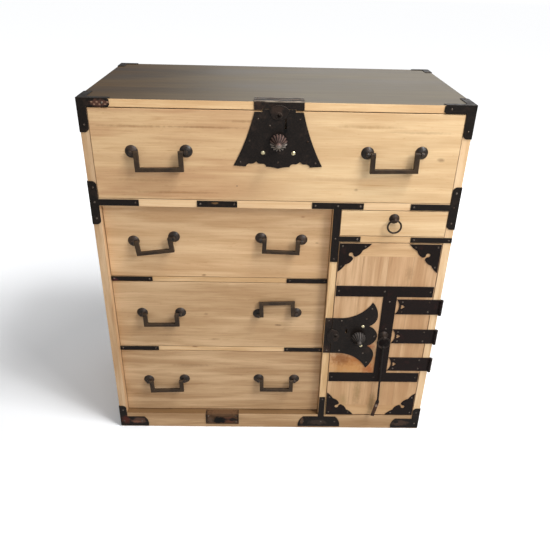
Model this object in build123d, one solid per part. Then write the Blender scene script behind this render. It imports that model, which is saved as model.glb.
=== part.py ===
from build123d import *
import os
from math import asin, atan2, cos, degrees, hypot, radians, sin, sqrt

# Isho clothing chest: a kiri wood case with five drawers and a side-hung door, dressed in black iron.
# X runs to the right, Y to the back, Z up. The origin is on the floor, in the middle of the underside
# of the base rail, which runs along the front between the sides. All sizes are in millimetres.

# ---- Case -------------------------------------------------------------------
case_width = 900.0
case_depth = 465.0
case_height = 975.0
side_thickness = 20.0
top_thickness = 18.5
bottom_thickness = 18.0
back_thickness = 12.0
back_rabbet = 10.0
back_foot = 12.0
back_planks = 5
back_seam = 0.6
arris = 0.8

base_rail_height = 52.0
base_rail_thickness = 22.0
rail_depth = 55.0
dust_board_thickness = 10.0
top_bay_height = 219.5
mid_rail_height = 19.0
upper_bay_height = 207.0
middle_bay_height = 212.0
left_rail_height = 14.0
left_bay_share = 0.6675
left_recess = 20.0
divider_thickness = 19.0
small_bay_height = 71.0
small_rail_height = 17.0
stop_depth = 15.0
stop_width = 30.0
stop_height = 20.0
stop_inset = 40.0

# ---- Drawers ----------------------------------------------------------------
drawer_front_thickness = 20.0
drawer_side_thickness = 12.0
drawer_back_thickness = 12.0
drawer_bottom_thickness = 8.0
drawer_lap = 12.0
drawer_side_gap = 0.8
drawer_foot_gap = 1.0
drawer_head_gap = 1.8
top_drawer_head_gap = 2.0
drawer_side_drop = 6.0
drawer_back_drop = 10.0

# ---- Bail handles -----------------------------------------------------------
rosette_height = 7.0
post_standoff = 13.0
post_stem_radius = 3.0
post_eye_radius = 5.0
post_eye_width = 6.0
post_clench_length = 26.0
post_clench_thickness = 1.5
pivot_pin_radius = 2.6
pivot_clearance = 0.1
pivot_tip_radius = 3.6
pivot_tip_length = 1.5
bail_leg_width = 11.0
bail_rest_gap = 0.4
top_rosette_radius = 15.5
top_bail_spacing = 127.0
top_bail_drop = 40.5
top_bail_bar = 9.0
top_bail_inset = 6.5
top_bail_offset = 276.0
top_bail_rise = 15.5
left_rosette_radius = 15.0
left_bail_spacing = 104.5
left_bail_drop = 32.0
left_bail_bar = 8.6
left_bail_inset = 3.8
left_bail_offset = 160.5
lifted_bail_drop = 35.5
upper_bail_rise = 14.0
middle_bail_rise = 8.5
lower_bail_rise = 6.0

# Each handle was fitted by eye: this far to the right and up from its even place, and this slope.
top_left_handle = (1.0, -5.5, 1.3)
top_right_handle = (0.6, 0.3, 1.2)
upper_left_handle = (-4.8, -7.0, 7.5)
upper_right_handle = (0.2, -1.9, -1.8)
middle_left_handle = (-1.4, -1.1, 1.2)
middle_right_handle = (-4.9, 1.1, 2.4)
lower_left_handle = (-2.2, -0.8, 2.3)
lower_right_handle = (-1.9, 4.9, 0.0)

# ---- Ring pulls and the hanging key -----------------------------------------
ring_radius = 16.7
ring_wire_radius = 2.3
ring_standoff = 12.0
ring_eye_radius = 5.4
ring_eye_width = 5.0
ring_eye_clearance = 0.6
ring_rosette_radius = 13.0
small_ring_rise = 13.5
door_ring_rise = 3.5
door_ring_shift = 4.0
spine_nail_rise = 21.7
key_eye_radius = 6.2
key_eye_hole = 3.0
key_eye_width = 4.0
key_shaft_radius = 2.8
key_shaft_length = 193.5
key_collar_radius = 4.2
key_collar_length = 7.0
key_bit_length = 56.0
key_bit_width = 10.0
key_bit_thickness = 3.2
key_bit_lean = 10.6
key_lean = 1.8
key_notch = 3.0
key_notches = 3

# ---- Iron fittings on the case ------------------------------------------------
iron = 1.6
strap_inset = 1.5
left_strap_inset = 0.8
corner_arm = 72.0
rear_corner_arm = 50.0
corner_arm_clip = 4.0
corner_drop = 76.5
iron_end_flat = 9.0
iron_end_fall = 9.0
iron_end_via = (0.65, 0.3)
corner_lip = 12.0
corner_strip = 18.0
mid_iron_rise = 44.0
mid_iron_fall = 49.0
mid_iron_arm = 117.0
mid_iron_wrap = 25.0
centre_strap_centre = -142.5
centre_strap_width = 98.0
stile_bar_reach = 54.0
stile_strap_length = 145.0
left_strap_width = 109.0
small_strap_width = 105.0
foot_strap_height = 120.0
foot_plate_shift = 6.0
foot_plate_top = 44.5
foot_plate_foot = 6.0
foot_plate_top_width = 96.0
foot_plate_foot_width = 127.0
foot_plate_round = (6.0, 11.5)
base_plate_centre = -145.0
base_plate_width = 99.0
base_plate_foot = 12.0
base_plate_lap = 18.0
base_plate_sink = 0.4
base_corner_height = 79.0
base_corner_arm = 82.0
base_corner_slope = 11.0
base_corner_rise = 38.0
base_corner_foot = 3.0
base_corner_round = (4.0, 9.0)

# ---- Door -------------------------------------------------------------------
door_thickness = 20.0
door_gap = 1.5
door_foot_gap = 2.0
door_batten_height = 38.0
door_planks = 4
door_stop_width = 12.0
door_strap_height = 32.0
door_strap_margin = 2.0
door_lower_strap = 197.5
door_strap_spacing = 288.5
door_spine_width = 37.0
door_spine_gap = 3.0
fitting_margin = 1.5
fitting_leg = 82.0
fitting_cusp = (60.5, 18.5)
fitting_lobe = (44.5, 37.0)
fitting_toe_via = (70.5, 12.0)
fitting_lobe_via = (54.3, 30.0)
fitting_notch = 37.5
fitting_hole_radius = 5.6
fitting_hole_offset = 31.0
fitting_slot = 5.2
hinge_height = 46.5
hinge_leaf = 2.0
hinge_tail_gap = 0.8
hinge_tail_bite = 9.0
heart_tip = 6.6
heart_half = 5.6
heart_lobe = (4.8, 4.5)
heart_cleft = 2.4
hinge_heart_offset = 18.0
hinge_knuckle_radius = 4.5
hinge_axis_offset = 3.3
hinge_pin_radius = 2.0
hinge_running_clearance = 0.06
hinge_fixed_clearance = 0.03
hinge_pin_head_radius = 3.2
hinge_pin_head_height = 1.2
hinge_end_share = 14.0
hinge_gap = 0.4
hinge_leaf_clearance = 0.3
hinge_side_length = 60.0
hinge_side_shoulder = 42.0
hinge_side_bulge = 15.0
hinge_upper_gap = 8.0
hinge_lower_gap = 9.0

# ---- Locks ------------------------------------------------------------------
plate = 2.0
lock_centre = 3.5
lock_shoulder = 56.0
lock_shoulder_gap = 4.0
lock_flare = 104.5
lock_waist = 75.5
lock_length = 126.0
lock_tab = 37.5
lock_tab_rise = 2.0
lock_tip_fall = 6.0
lock_scallops = (
    ((13.7, -3.0), (27.5, -2.0)),
    ((31.7, 4.0), (39.5, 5.0)),
    ((46.7, 6.6), (51.5, 11.0)),
    ((56.3, 6.6), (63.5, 5.0)),
    ((71.3, 4.0), (75.5, -2.0)),
)
lock_left_nail = (-21.0, 35.0)
strike_rise = 0.8
strike_clearance = 0.8
strike_half_width = 57.0
strike_depth = 38.0
strike_step = 19.0
strike_step_thickness = 0.9
top_knob_drop = 70.5
door_knob_reach = 73.0
door_lock_shoulder = 58.0
door_lock_straight = 16.5
door_lock_curve = (63.5, 68.5)
door_lock_horn = (104.5, 109.5)
door_lock_bulge = (122.5, 66.0)
door_lock_bulge_via = (117.5, 89.0)
door_lock_cusp = (100.0, 33.0)
door_lock_cusp_via = (118.5, 49.0)
door_lock_tip_via = (119.5, 20.0)
door_lock_length = 127.0
knob_travel = 8.0
knob_radius = 20.0
knob_rim = 3.0
knob_cap_height = 24.0
knob_cap_radius = 6.0
knob_tip_radius = 6.8
knob_tip_sink = 2.3
knob_back_gap = 9.5
knob_flutes = 16
knob_flute_radius = 2.6
knob_flute_tip_radius = 0.8
knob_core_radius = 10.5
knob_cone_start = 2.0
knob_cone_tip_radius = 2.5
knob_fit = 0.1
knob_hole_spare = 0.5
bolt_width = 14.0
bolt_thickness = 4.0
bolt_depth = 6.0
bolt_gap = 0.3
bolt_recess = 1.0
bolt_fit = 0.1
strike_slot_depth = 11.0
strike_slot_fit = 0.6
cover_half_width = 23.5
cover_shoulder = 12.5
cover_top = 23.5
cover_waist = 16.5
cover_waist_fall = 2.5
cover_foot = 10.0
cover_thickness = 1.5
cover_gap = 0.1
cover_boss_radius = 7.2
cover_boss_height = 1.0
cover_rivet_radius = 2.5
cover_rivet_fit = 0.1
cover_rivet_length = 5.0
cover_rivet_head = 4.0
top_cover_drop = 11.5
door_cover_reach = 62.0
keyhole_width = 4.4
keyhole_eye_radius = 3.2
keyhole_depth = 12.0
top_keyhole_offset = 15.5
top_keyhole_low = 31.5
top_keyhole_length = 20.0
door_keyhole_reach = 33.0
door_keyhole_low = 12.5
door_keyhole_length = 12.0
stud_radius = 4.6
stud_height = 2.0
stud_shank_radius = 1.5
stud_length = 11.0
stud_spread = 35.5
stud_fall = 28.0
door_stud_spread = 32.3
door_stud_reach = 11.5

# ---- Nails ------------------------------------------------------------------
nail_head_radius = 2.6
nail_head_height = 1.2
nail_shank_radius = 1.0
nail_length = 13.0
nail_inset = 8.0
rail_strap_nails = 2
door_strap_nails = 3

# ---- Levels and planes that follow from the sizes above -----------------------
half = case_width / 2
inner = half - side_thickness
front = -base_rail_thickness / 2
rear = front + case_depth
back_face = rear - back_thickness
stop_face = back_face - stop_depth
recess_face = front + left_recess
shelf_back = front + rail_depth
rail_back = front + base_rail_thickness
top_under = case_height - top_thickness
mid_rail_top = top_under - top_bay_height
mid_rail_under = mid_rail_top - mid_rail_height
upper_rail_top = mid_rail_under - upper_bay_height
upper_rail_under = upper_rail_top - left_rail_height
lower_rail_top = upper_rail_under - middle_bay_height
lower_rail_under = lower_rail_top - left_rail_height
divider_left = -inner + 2 * inner * left_bay_share
divider_right = divider_left + divider_thickness
divider_top = mid_rail_top - dust_board_thickness
small_rail_top = mid_rail_under - small_bay_height
small_rail_under = small_rail_top - small_rail_height

nodes = {}


def block(low, high):
    """Board or block between its lowest and highest corners."""
    size = [b - a for a, b in zip(low, high)]
    centre = [(a + b) / 2 for a, b in zip(low, high)]
    return Pos(*centre) * Box(*size)


def outline(stops):
    """Closed face. A stop is a point, or a pair: a point on an arc, then the arc's end."""
    edges = []
    here = stops[0]
    for stop in stops[1:] + stops[:1]:
        if isinstance(stop[0], tuple):
            edges.append(ThreePointArc(here, stop[0], stop[1]))
            here = stop[1]
        elif stop != here:
            edges.append(Line(here, stop))
            here = stop
    return make_face(edges)


def front_plate(stops, face_y, thickness):
    """Plate on a face that looks to the front; its stops are (x, z)."""
    plane = Plane(origin=(0, face_y, 0), x_dir=(1, 0, 0), z_dir=(0, -1, 0))
    return extrude(plane * outline(stops), thickness)


def left_plate(stops, face_x, thickness):
    """Plate on a face that looks to the left; its stops are (y, z)."""
    plane = Plane(origin=(face_x, 0, 0), x_dir=(0, 1, 0), z_dir=(1, 0, 0))
    return extrude(plane * outline(stops), thickness, dir=(-1, 0, 0))


def top_plate(stops, face_z, thickness):
    """Plate on a face that looks up; its stops are (x, y)."""
    return extrude(Plane.XY.offset(face_z) * outline(stops), thickness)


def oblong(left, right, low, high):
    """Stops of an upright rectangle."""
    return [(left, low), (right, low), (right, high), (left, high)]


def facing_front(x, z, face_y):
    """Where something built along +Z stands out of a face that looks to the front."""
    return Plane(origin=(x, face_y, z), x_dir=(1, 0, 0), z_dir=(0, -1, 0)).location


def facing_left(y, z, face_x):
    """Where something built along +Z stands out of a face that looks to the left."""
    return Plane(origin=(face_x, y, z), x_dir=(0, 1, 0), z_dir=(-1, 0, 0)).location


def dome(radius, height):
    """Spherical cap standing on the XY plane."""
    ball_radius = (radius ** 2 + height ** 2) / (2 * height)
    ball = Pos(0, 0, height - ball_radius) * Sphere(ball_radius)
    return ball & Pos(0, 0, height / 2) * Cylinder(radius + height, height)


def upright(radius, low, high):
    """Round bar along Z."""
    return Pos(0, 0, (low + high) / 2) * Cylinder(radius, high - low)


def eased(board, face_y):
    """Take the sharp arris off the edges around a board's front face."""
    arrises = [edge for edge in board.edges() if abs(edge.center().Y - face_y) < arris]
    return chamfer(arrises, arris)


def mirrored(shape):
    """The same piece on the other side of the case."""
    return mirror(shape, about=Plane.YZ)


def spread(start, end, count):
    """Evenly spaced values, both ends included."""
    return [start + (end - start) * step / (count - 1) for step in range(count)]


# ---- Case boards --------------------------------------------------------------
side_board = block((-half, front, 0), (-inner, rear, top_under))
side_board -= block((-inner - back_rabbet, back_face, back_foot), (-inner, rear, top_under))
nodes["case_side_left"] = [side_board]
nodes["case_side_right"] = [mirrored(side_board)]
nodes["top_board"] = [eased(block((-half, front, top_under), (half, rear, case_height)), front)]

bottom_low = (-inner, rail_back, base_rail_height - bottom_thickness)
nodes["bottom_board"] = [block(bottom_low, (inner, back_face, base_rail_height))]
nodes["base_rail"] = [block((-inner, front, 0), (inner, rail_back, base_rail_height))]

plank_pitch = (top_under - back_foot) / back_planks
back_reach = inner + back_rabbet
nodes["back_boards"] = []
for plank in range(back_planks):
    plank_low = back_foot + plank * plank_pitch
    seam = back_seam if plank < back_planks - 1 else 0
    plank_high = plank_low + plank_pitch - seam
    board = block((-back_reach, back_face, plank_low), (back_reach, rear, plank_high))
    nodes["back_boards"].append(board)

nodes["mid_rail"] = [block((-inner, front, mid_rail_under), (inner, shelf_back, mid_rail_top))]
nodes["lower_rails"] = [
    block((-inner, recess_face, upper_rail_under), (divider_left, shelf_back, upper_rail_top)),
    block((-inner, recess_face, lower_rail_under), (divider_left, shelf_back, lower_rail_top)),
    block((divider_right, front, small_rail_under), (inner, shelf_back, small_rail_top)),
]

# Thin shelves behind the rails keep the dust out of the drawer below.
shelves = (
    (-inner, inner, mid_rail_top),
    (-inner, divider_left, upper_rail_top),
    (-inner, divider_left, lower_rail_top),
    (divider_right, inner, small_rail_top),
)
nodes["dust_boards"] = [
    block((left, shelf_back, high - dust_board_thickness), (right, back_face, high))
    for left, right, high in shelves
]

# The divider stands on the bottom board and the base rail, notched around the middle rail.
divider = block((divider_left, front, base_rail_height), (divider_right, back_face, divider_top))
divider -= block((divider_left, front, mid_rail_under), (divider_right, shelf_back, divider_top))
nodes["divider_board"] = [divider]

# ---- Drawers ------------------------------------------------------------------


def drawer(name, left, right, low, high, face_y, head_gap):
    """A front with its box lapped into it; the box runs on the shelf at the height low."""
    left += drawer_side_gap
    right -= drawer_side_gap
    front_back = face_y + drawer_front_thickness
    front_top = high - head_gap
    side_top = front_top - drawer_side_drop
    side_low = low + drawer_bottom_thickness
    lap_start = front_back - drawer_lap
    inside_left = left + drawer_side_thickness
    inside_right = right - drawer_side_thickness
    back_start = stop_face - drawer_back_thickness
    back_top = side_top - drawer_back_drop
    face = eased(block((left, face_y, low + drawer_foot_gap), (right, front_back, front_top)), face_y)
    left_side = block((left, lap_start, side_low), (inside_left, stop_face, side_top))
    right_side = block((inside_right, lap_start, side_low), (right, stop_face, side_top))
    back = block((inside_left, back_start, side_low), (inside_right, stop_face, back_top))
    bottom = block((left, front_back, low), (right, stop_face, side_low))
    nodes[name + "_front"] = [face - left_side - right_side]
    nodes[name + "_box"] = [left_side, right_side, back, bottom]


top_bay = (-inner, inner, mid_rail_top, top_under)
upper_bay = (-inner, divider_left, upper_rail_top, mid_rail_under)
middle_bay = (-inner, divider_left, lower_rail_top, upper_rail_under)
lower_bay = (-inner, divider_left, base_rail_height, lower_rail_under)
small_bay = (divider_right, inner, small_rail_top, mid_rail_under)
drawer("top_drawer", *top_bay, front, top_drawer_head_gap)
drawer("upper_left_drawer", *upper_bay, recess_face, drawer_head_gap)
drawer("middle_left_drawer", *middle_bay, recess_face, drawer_head_gap)
drawer("lower_left_drawer", *lower_bay, recess_face, drawer_head_gap)
drawer("small_drawer", *small_bay, front, drawer_head_gap)

# Blocks glued to each shelf against the back, where the drawers stop with their faces in line,
# and a strip on the divider that the door shuts against.
nodes["stop_blocks"] = []
for left, right, low, high in (top_bay, upper_bay, middle_bay, lower_bay, small_bay):
    for start in (left + stop_inset, right - stop_inset - stop_width):
        stop = block((start, stop_face, low), (start + stop_width, back_face, low + stop_height))
        nodes["stop_blocks"].append(stop)
door_back = front + door_thickness
door_stop_low = (divider_right, door_back, base_rail_height)
door_stop_high = (divider_right + door_stop_width, door_back + stop_depth, small_rail_under)
nodes["stop_blocks"].append(block(door_stop_low, door_stop_high))

# ---- Bail handles -------------------------------------------------------------


def eye_post(standoff, eye_radius, eye_width, hole_radius, grip):
    """Post along +Z from a face at z = 0: an eye in front, and a shank clenched behind the board."""
    post = upright(post_stem_radius, -grip, standoff)
    post += Pos(0, 0, standoff) * Rot(0, 90, 0) * Cylinder(eye_radius, eye_width)
    post -= Pos(0, 0, standoff) * Rot(0, 90, 0) * Cylinder(hole_radius, 2 * eye_width)
    clench = Box(post_clench_length, 2 * post_stem_radius, post_clench_thickness)
    return post + Pos(0, 0, -grip - post_clench_thickness / 2) * clench


def rosette(radius):
    """Domed iron washer with a hole for the post."""
    return dome(radius, rosette_height) - upright(post_stem_radius, -rosette_height, 2 * rosette_height)


def bail(spacing, drop, bar, inset):
    """Square bail hanging from the pivots, which lie along X at the origin."""
    leg_outside = spacing / 2 - inset
    leg_centre = leg_outside - bail_leg_width / 2
    pin_end = (spacing + post_eye_width) / 2 + pivot_clearance
    shape = Pos(0, 0, -drop) * Box(2 * leg_outside, bar, bar)
    for way in (-1, 1):
        shape += Pos(way * leg_centre, 0, -drop / 2) * Box(bail_leg_width, bar, drop)
        shape += Pos(way * leg_centre, 0, 0) * Rot(0, 90, 0) * Cylinder(bar / 2, bail_leg_width)
        pin = Rot(0, way * 90, 0) * upright(pivot_pin_radius, leg_centre, pin_end)
        tip = Rot(0, way * 90, 0) * upright(pivot_tip_radius, pin_end, pin_end + pivot_tip_length)
        shape += pin + tip
    return shape


def bail_lean(drop, bar):
    """How far past plumb the bail swings, in degrees, before its bar meets the drawer front."""
    reach = drop + bar / 2
    room = post_standoff - bail_rest_gap
    return degrees(asin(room / hypot(reach, bar / 2)) - atan2(bar / 2, reach))


def post_places(x, z, face_y, spacing, tilt):
    """The two posts of a handle; tilt is the slope of the pair, in degrees."""
    run = spacing / 2 * cos(radians(tilt))
    rise = spacing / 2 * sin(radians(tilt))
    turn = Rot(0, 0, tilt)
    return [facing_front(x + way * run, z + way * rise, face_y) * turn for way in (-1, 1)]


def fit_handle(name, side, x, z, tilt, lifted, face_y, spacing, drop, bar, inset, rosette_radius):
    """One handle: two rosettes, two clenched posts and the bail; a lifted bail leans on the drawer."""
    posts = nodes.setdefault(name + "_handle_posts", [])
    hole_radius = pivot_pin_radius + pivot_clearance
    for place in post_places(x, z, face_y, spacing, tilt):
        posts.append(place * rosette(rosette_radius))
        post = eye_post(post_standoff, post_eye_radius, post_eye_width, hole_radius, drawer_front_thickness)
        posts.append(place * post)
        shank_hole = place * upright(post_stem_radius, -2 * drawer_front_thickness, rosette_height)
        nodes[name + "_front"] = [nodes[name + "_front"][0] - shank_hole]
    swing = 180 + bail_lean(drop, bar) if lifted else 0
    hung = Rot(0, -tilt, 0) * Rot(-swing, 0, 0) * bail(spacing, drop, bar, inset)
    nodes[name + "_" + side + "_bail"] = [Pos(x, face_y - post_standoff, z) * hung]


left_bay_centre = (divider_left - inner) / 2
left_x = left_bay_centre - left_bail_offset
right_x = left_bay_centre + left_bail_offset
top_bail_z = (mid_rail_top + top_under) / 2 + top_bail_rise
upper_bail_z = (upper_rail_top + mid_rail_under) / 2 + upper_bail_rise
middle_bail_z = (lower_rail_top + upper_rail_under) / 2 + middle_bail_rise
lower_bail_z = (base_rail_height + lower_rail_under) / 2 + lower_bail_rise

top_bail = (front, top_bail_spacing, top_bail_drop, top_bail_bar, top_bail_inset, top_rosette_radius)
left_sizes = (left_bail_bar, left_bail_inset, left_rosette_radius)
left_bail = (recess_face, left_bail_spacing, left_bail_drop, *left_sizes)
lifted_bail = (recess_face, left_bail_spacing, lifted_bail_drop, *left_sizes)
handles = [
    ("top_drawer", "left", -top_bail_offset, top_bail_z, top_left_handle, top_bail),
    ("top_drawer", "right", top_bail_offset, top_bail_z, top_right_handle, top_bail),
    ("upper_left_drawer", "left", left_x, upper_bail_z, upper_left_handle, left_bail),
    ("upper_left_drawer", "right", right_x, upper_bail_z, upper_right_handle, left_bail),
    ("middle_left_drawer", "left", left_x, middle_bail_z, middle_left_handle, left_bail),
    ("middle_left_drawer", "right", right_x, middle_bail_z, middle_right_handle, lifted_bail),
    ("lower_left_drawer", "left", left_x, lower_bail_z, lower_left_handle, left_bail),
    ("lower_left_drawer", "right", right_x, lower_bail_z, lower_right_handle, left_bail),
]
for name, side, x, z, (shift, rise, tilt), sizes in handles:
    fit_handle(name, side, x + shift, z + rise, tilt, sizes is lifted_bail, *sizes)

# ---- Ring pull of the small drawer ----------------------------------------------


def ring_post(grip):
    """Rosette and eye post for a ring, along +Z."""
    hole_radius = ring_wire_radius + ring_eye_clearance
    return [
        rosette(ring_rosette_radius),
        eye_post(ring_standoff, ring_eye_radius, ring_eye_width, hole_radius, grip),
    ]


def pull_ring():
    """Ring hanging from the origin in the XZ plane."""
    return Pos(0, 0, -ring_radius) * Rot(90, 0, 0) * Torus(ring_radius, ring_wire_radius)


small_ring_x = (divider_right + inner) / 2
small_ring_z = (small_rail_top + mid_rail_under) / 2 + small_ring_rise
small_ring_y = front - ring_standoff
place = facing_front(small_ring_x, small_ring_z, front)
nodes["small_drawer_ring_post"] = [place * piece for piece in ring_post(drawer_front_thickness)]
nodes["small_drawer_ring"] = [Pos(small_ring_x, small_ring_y, small_ring_z) * pull_ring()]
shank_hole = place * upright(post_stem_radius, -2 * drawer_front_thickness, rosette_height)
nodes["small_drawer_front"] = [nodes["small_drawer_front"][0] - shank_hole]

# ---- Nails ----------------------------------------------------------------------
nail_shape = dome(nail_head_radius, nail_head_height) + upright(nail_shank_radius, -nail_length, 0)
stud_shape = dome(stud_radius, stud_height) + upright(stud_shank_radius, -stud_length, 0)


def front_nails(face_y, points):
    """Nails in a plate that looks to the front, at (x, z)."""
    return [facing_front(x, z, face_y) * nail_shape for x, z in points]


def left_nails(face_x, points):
    """Nails in a plate that looks to the left, at (y, z)."""
    return [facing_left(y, z, face_x) * nail_shape for y, z in points]


def top_nails(face_z, points):
    """Nails in a plate that looks up, at (x, y)."""
    return [Pos(x, y, face_z) * nail_shape for x, y in points]


def meets(one, other):
    """Whether two bounding boxes share any space."""
    lows = zip(tuple(one.min), tuple(other.max))
    highs = zip(tuple(other.min), tuple(one.max))
    return all(low < high for low, high in (*lows, *highs))


def bore(names, fasteners):
    """Cut the holes for nails and studs in every piece of the named nodes that they reach."""
    boxes = [(fastener, fastener.bounding_box()) for fastener in fasteners]
    for name in names:
        for index, piece in enumerate(nodes[name]):
            piece_box = piece.bounding_box()
            driven = [fastener for fastener, box in boxes if meets(piece_box, box)]
            if driven:
                nodes[name][index] = piece - driven


# ---- Case irons -----------------------------------------------------------------
front_iron = front - iron
left_iron = -half - iron
top_iron = case_height + iron
case_nails = []


def rounded_end(edge, reach, level, fall):
    """Three points of a leaf's end: where its level part stops, one on the curve, and the curve's end."""
    flat = edge + iron_end_flat
    via = (flat + iron_end_via[0] * (reach - iron_end_flat), level + iron_end_via[1] * fall)
    return (flat, level), via, (edge + reach, level + fall)


def corner_iron(arm):
    """Iron cap on the top front corner at the left: leaves on the front, the side and the top."""
    arm_low = top_under
    drop_low = case_height - corner_drop
    clip = corner_arm_clip
    leaves = []
    for edge, outside in ((-half, left_iron), (front, front_iron)):
        flat, via, stop = rounded_end(edge, side_thickness, drop_low, iron_end_fall)
        leaf = [
            (outside, top_iron),
            (edge + arm - clip, top_iron),
            (edge + arm, top_iron - clip),
            (edge + arm, arm_low + clip),
            (edge + arm - clip, arm_low),
            (edge + side_thickness, arm_low),
            stop,
            (via, flat),
            (outside, drop_low),
        ]
        leaves.append(leaf)
    front_leaf, side_leaf = leaves
    top_leaf = [
        (left_iron, front_iron),
        (-half + arm - clip, front_iron),
        (-half + arm, front + clip),
        (-half + arm, front + corner_lip),
        (-half + corner_strip, front + corner_lip),
        (-half + corner_strip, front + arm),
        (-half + clip, front + arm),
        (left_iron, front + arm - clip),
    ]
    cap = front_plate(front_leaf, front, iron)
    cap += left_plate(side_leaf, -half, iron)
    return cap + top_plate(top_leaf, case_height, iron)


def corner_iron_nails(arm):
    """Nails of the left front corner cap."""
    edge = case_height - top_thickness / 2
    drop = case_height - corner_drop + iron_end_fall + nail_inset
    near = side_thickness / 2
    found = front_nails(front_iron, [(-half + arm - 2 * nail_inset, edge), (-half + near, drop)])
    found += left_nails(left_iron, [(front + arm - 2 * nail_inset, edge), (front + near, drop)])
    return found + top_nails(top_iron, [(-half + corner_strip / 2, front + arm - nail_inset)])


mid_depth = Plane(origin=(0, (front + rear) / 2, 0), z_dir=(0, 1, 0))
nodes["corner_irons"] = []
for arm, to_rear in ((corner_arm, False), (rear_corner_arm, True)):
    pieces = [corner_iron(arm)]
    driven = corner_iron_nails(arm)
    if to_rear:
        pieces = [mirror(piece, about=mid_depth) for piece in pieces]
        driven = [mirror(nail, about=mid_depth) for nail in driven]
    nodes["corner_irons"] += pieces + [mirrored(piece) for piece in pieces]
    case_nails += driven + [mirrored(nail) for nail in driven]

# Corner pieces half way up, wrapped round the front edge of each side, with an arm on the rail.
mid_low = mid_rail_under - mid_iron_fall
mid_high = mid_rail_top + mid_iron_rise
arm_low = mid_rail_under + strap_inset
arm_high = mid_rail_top - strap_inset
low_flat, low_via, low_stop = rounded_end(-half, side_thickness, mid_low, iron_end_fall)
high_flat, high_via, high_stop = rounded_end(-half, side_thickness, mid_high, -iron_end_fall)
mid_front_leaf = [
    (left_iron, mid_low),
    low_flat,
    (low_via, low_stop),
    (-inner, arm_low),
    (-half + mid_iron_arm, arm_low),
    (-half + mid_iron_arm, arm_high),
    (-inner, arm_high),
    high_stop,
    (high_via, high_flat),
    (left_iron, mid_high),
]
low_flat, low_via, low_stop = rounded_end(front, mid_iron_wrap, mid_low, iron_end_fall)
high_flat, high_via, high_stop = rounded_end(front, mid_iron_wrap, mid_high, -iron_end_fall)
mid_side_leaf = [
    (front_iron, mid_low),
    low_flat,
    (low_via, low_stop),
    high_stop,
    (high_via, high_flat),
    (front_iron, mid_high),
]
mid_iron = front_plate(mid_front_leaf, front, iron) + left_plate(mid_side_leaf, -half, iron)
rail_middle = (arm_low + arm_high) / 2
column = -half + side_thickness / 2
mid_rows = (mid_low + 2 * nail_inset, mid_high - 2 * nail_inset)
mid_columns = spread(column, -half + mid_iron_arm - nail_inset, rail_strap_nails)
mid_nails = front_nails(front_iron, [(x, rail_middle) for x in mid_columns])
mid_nails += front_nails(front_iron, [(column, z) for z in mid_rows])
mid_nails += left_nails(left_iron, [(front + mid_iron_wrap / 2, z) for z in mid_rows])
nodes["corner_irons"] += [mid_iron, mirrored(mid_iron)]
case_nails += mid_nails + [mirrored(nail) for nail in mid_nails]

# Foot corners of the case, with rounded ends.
round_reach = base_corner_arm - base_corner_round[0]
round_height = base_corner_rise - base_corner_round[1]
round_end = base_corner_arm - base_corner_slope
flat, via, stop = rounded_end(-half, side_thickness, base_corner_height, -iron_end_fall)
base_front_leaf = [
    (left_iron, base_corner_foot),
    (-half + base_corner_arm, base_corner_foot),
    ((-half + round_reach, round_height), (-half + round_end, base_corner_rise)),
    (-inner, base_corner_rise),
    stop,
    (via, flat),
    (left_iron, base_corner_height),
]
flat, via, stop = rounded_end(front, side_thickness, base_corner_height, -iron_end_fall)
base_side_leaf = [
    (front_iron, base_corner_foot),
    (front + base_corner_arm, base_corner_foot),
    ((front + round_reach, round_height), (front + round_end, base_corner_rise)),
    (front + side_thickness, base_corner_rise),
    stop,
    (via, flat),
    (front_iron, base_corner_height),
]
base_corner = front_plate(base_front_leaf, front, iron) + left_plate(base_side_leaf, -half, iron)
foot_row = (base_corner_foot + base_corner_rise) / 2
foot_tip = round_end - nail_inset
base_column = base_corner_height - 2 * nail_inset
base_points = [(column, foot_row), (-half + foot_tip, foot_row), (column, base_column)]
base_nails = front_nails(front_iron, base_points)
base_nails += left_nails(left_iron, [(front + foot_tip, foot_row), (front + side_thickness / 2, base_column)])
nodes["corner_irons"] += [base_corner, mirrored(base_corner)]
case_nails += base_nails + [mirrored(nail) for nail in base_nails]

# Straight straps on the rails: one in the middle, four on the recessed rails, one by the small drawer.
small_low = small_rail_under + strap_inset
small_high = small_rail_top - strap_inset
small_middle = (small_low + small_high) / 2
centre_left = centre_strap_centre - centre_strap_width / 2
straps = [
    (centre_left, centre_left + centre_strap_width, arm_low, arm_high, front),
    (half - small_strap_width, half, small_low, small_high, front),
]
for low, high in ((upper_rail_under, upper_rail_top), (lower_rail_under, lower_rail_top)):
    low += left_strap_inset
    high -= left_strap_inset
    straps.append((-inner, -inner + left_strap_width, low, high, recess_face))
    straps.append((divider_left - left_strap_width, divider_left, low, high, recess_face))
nodes["rail_straps"] = []
for left, right, low, high, face_y in straps:
    nodes["rail_straps"].append(front_plate(oblong(left, right, low, high), face_y, iron))
    columns = spread(left + nail_inset, right - nail_inset, rail_strap_nails)
    row = [(x, (low + high) / 2) for x in columns]
    case_nails += front_nails(face_y - iron, row)

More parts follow.
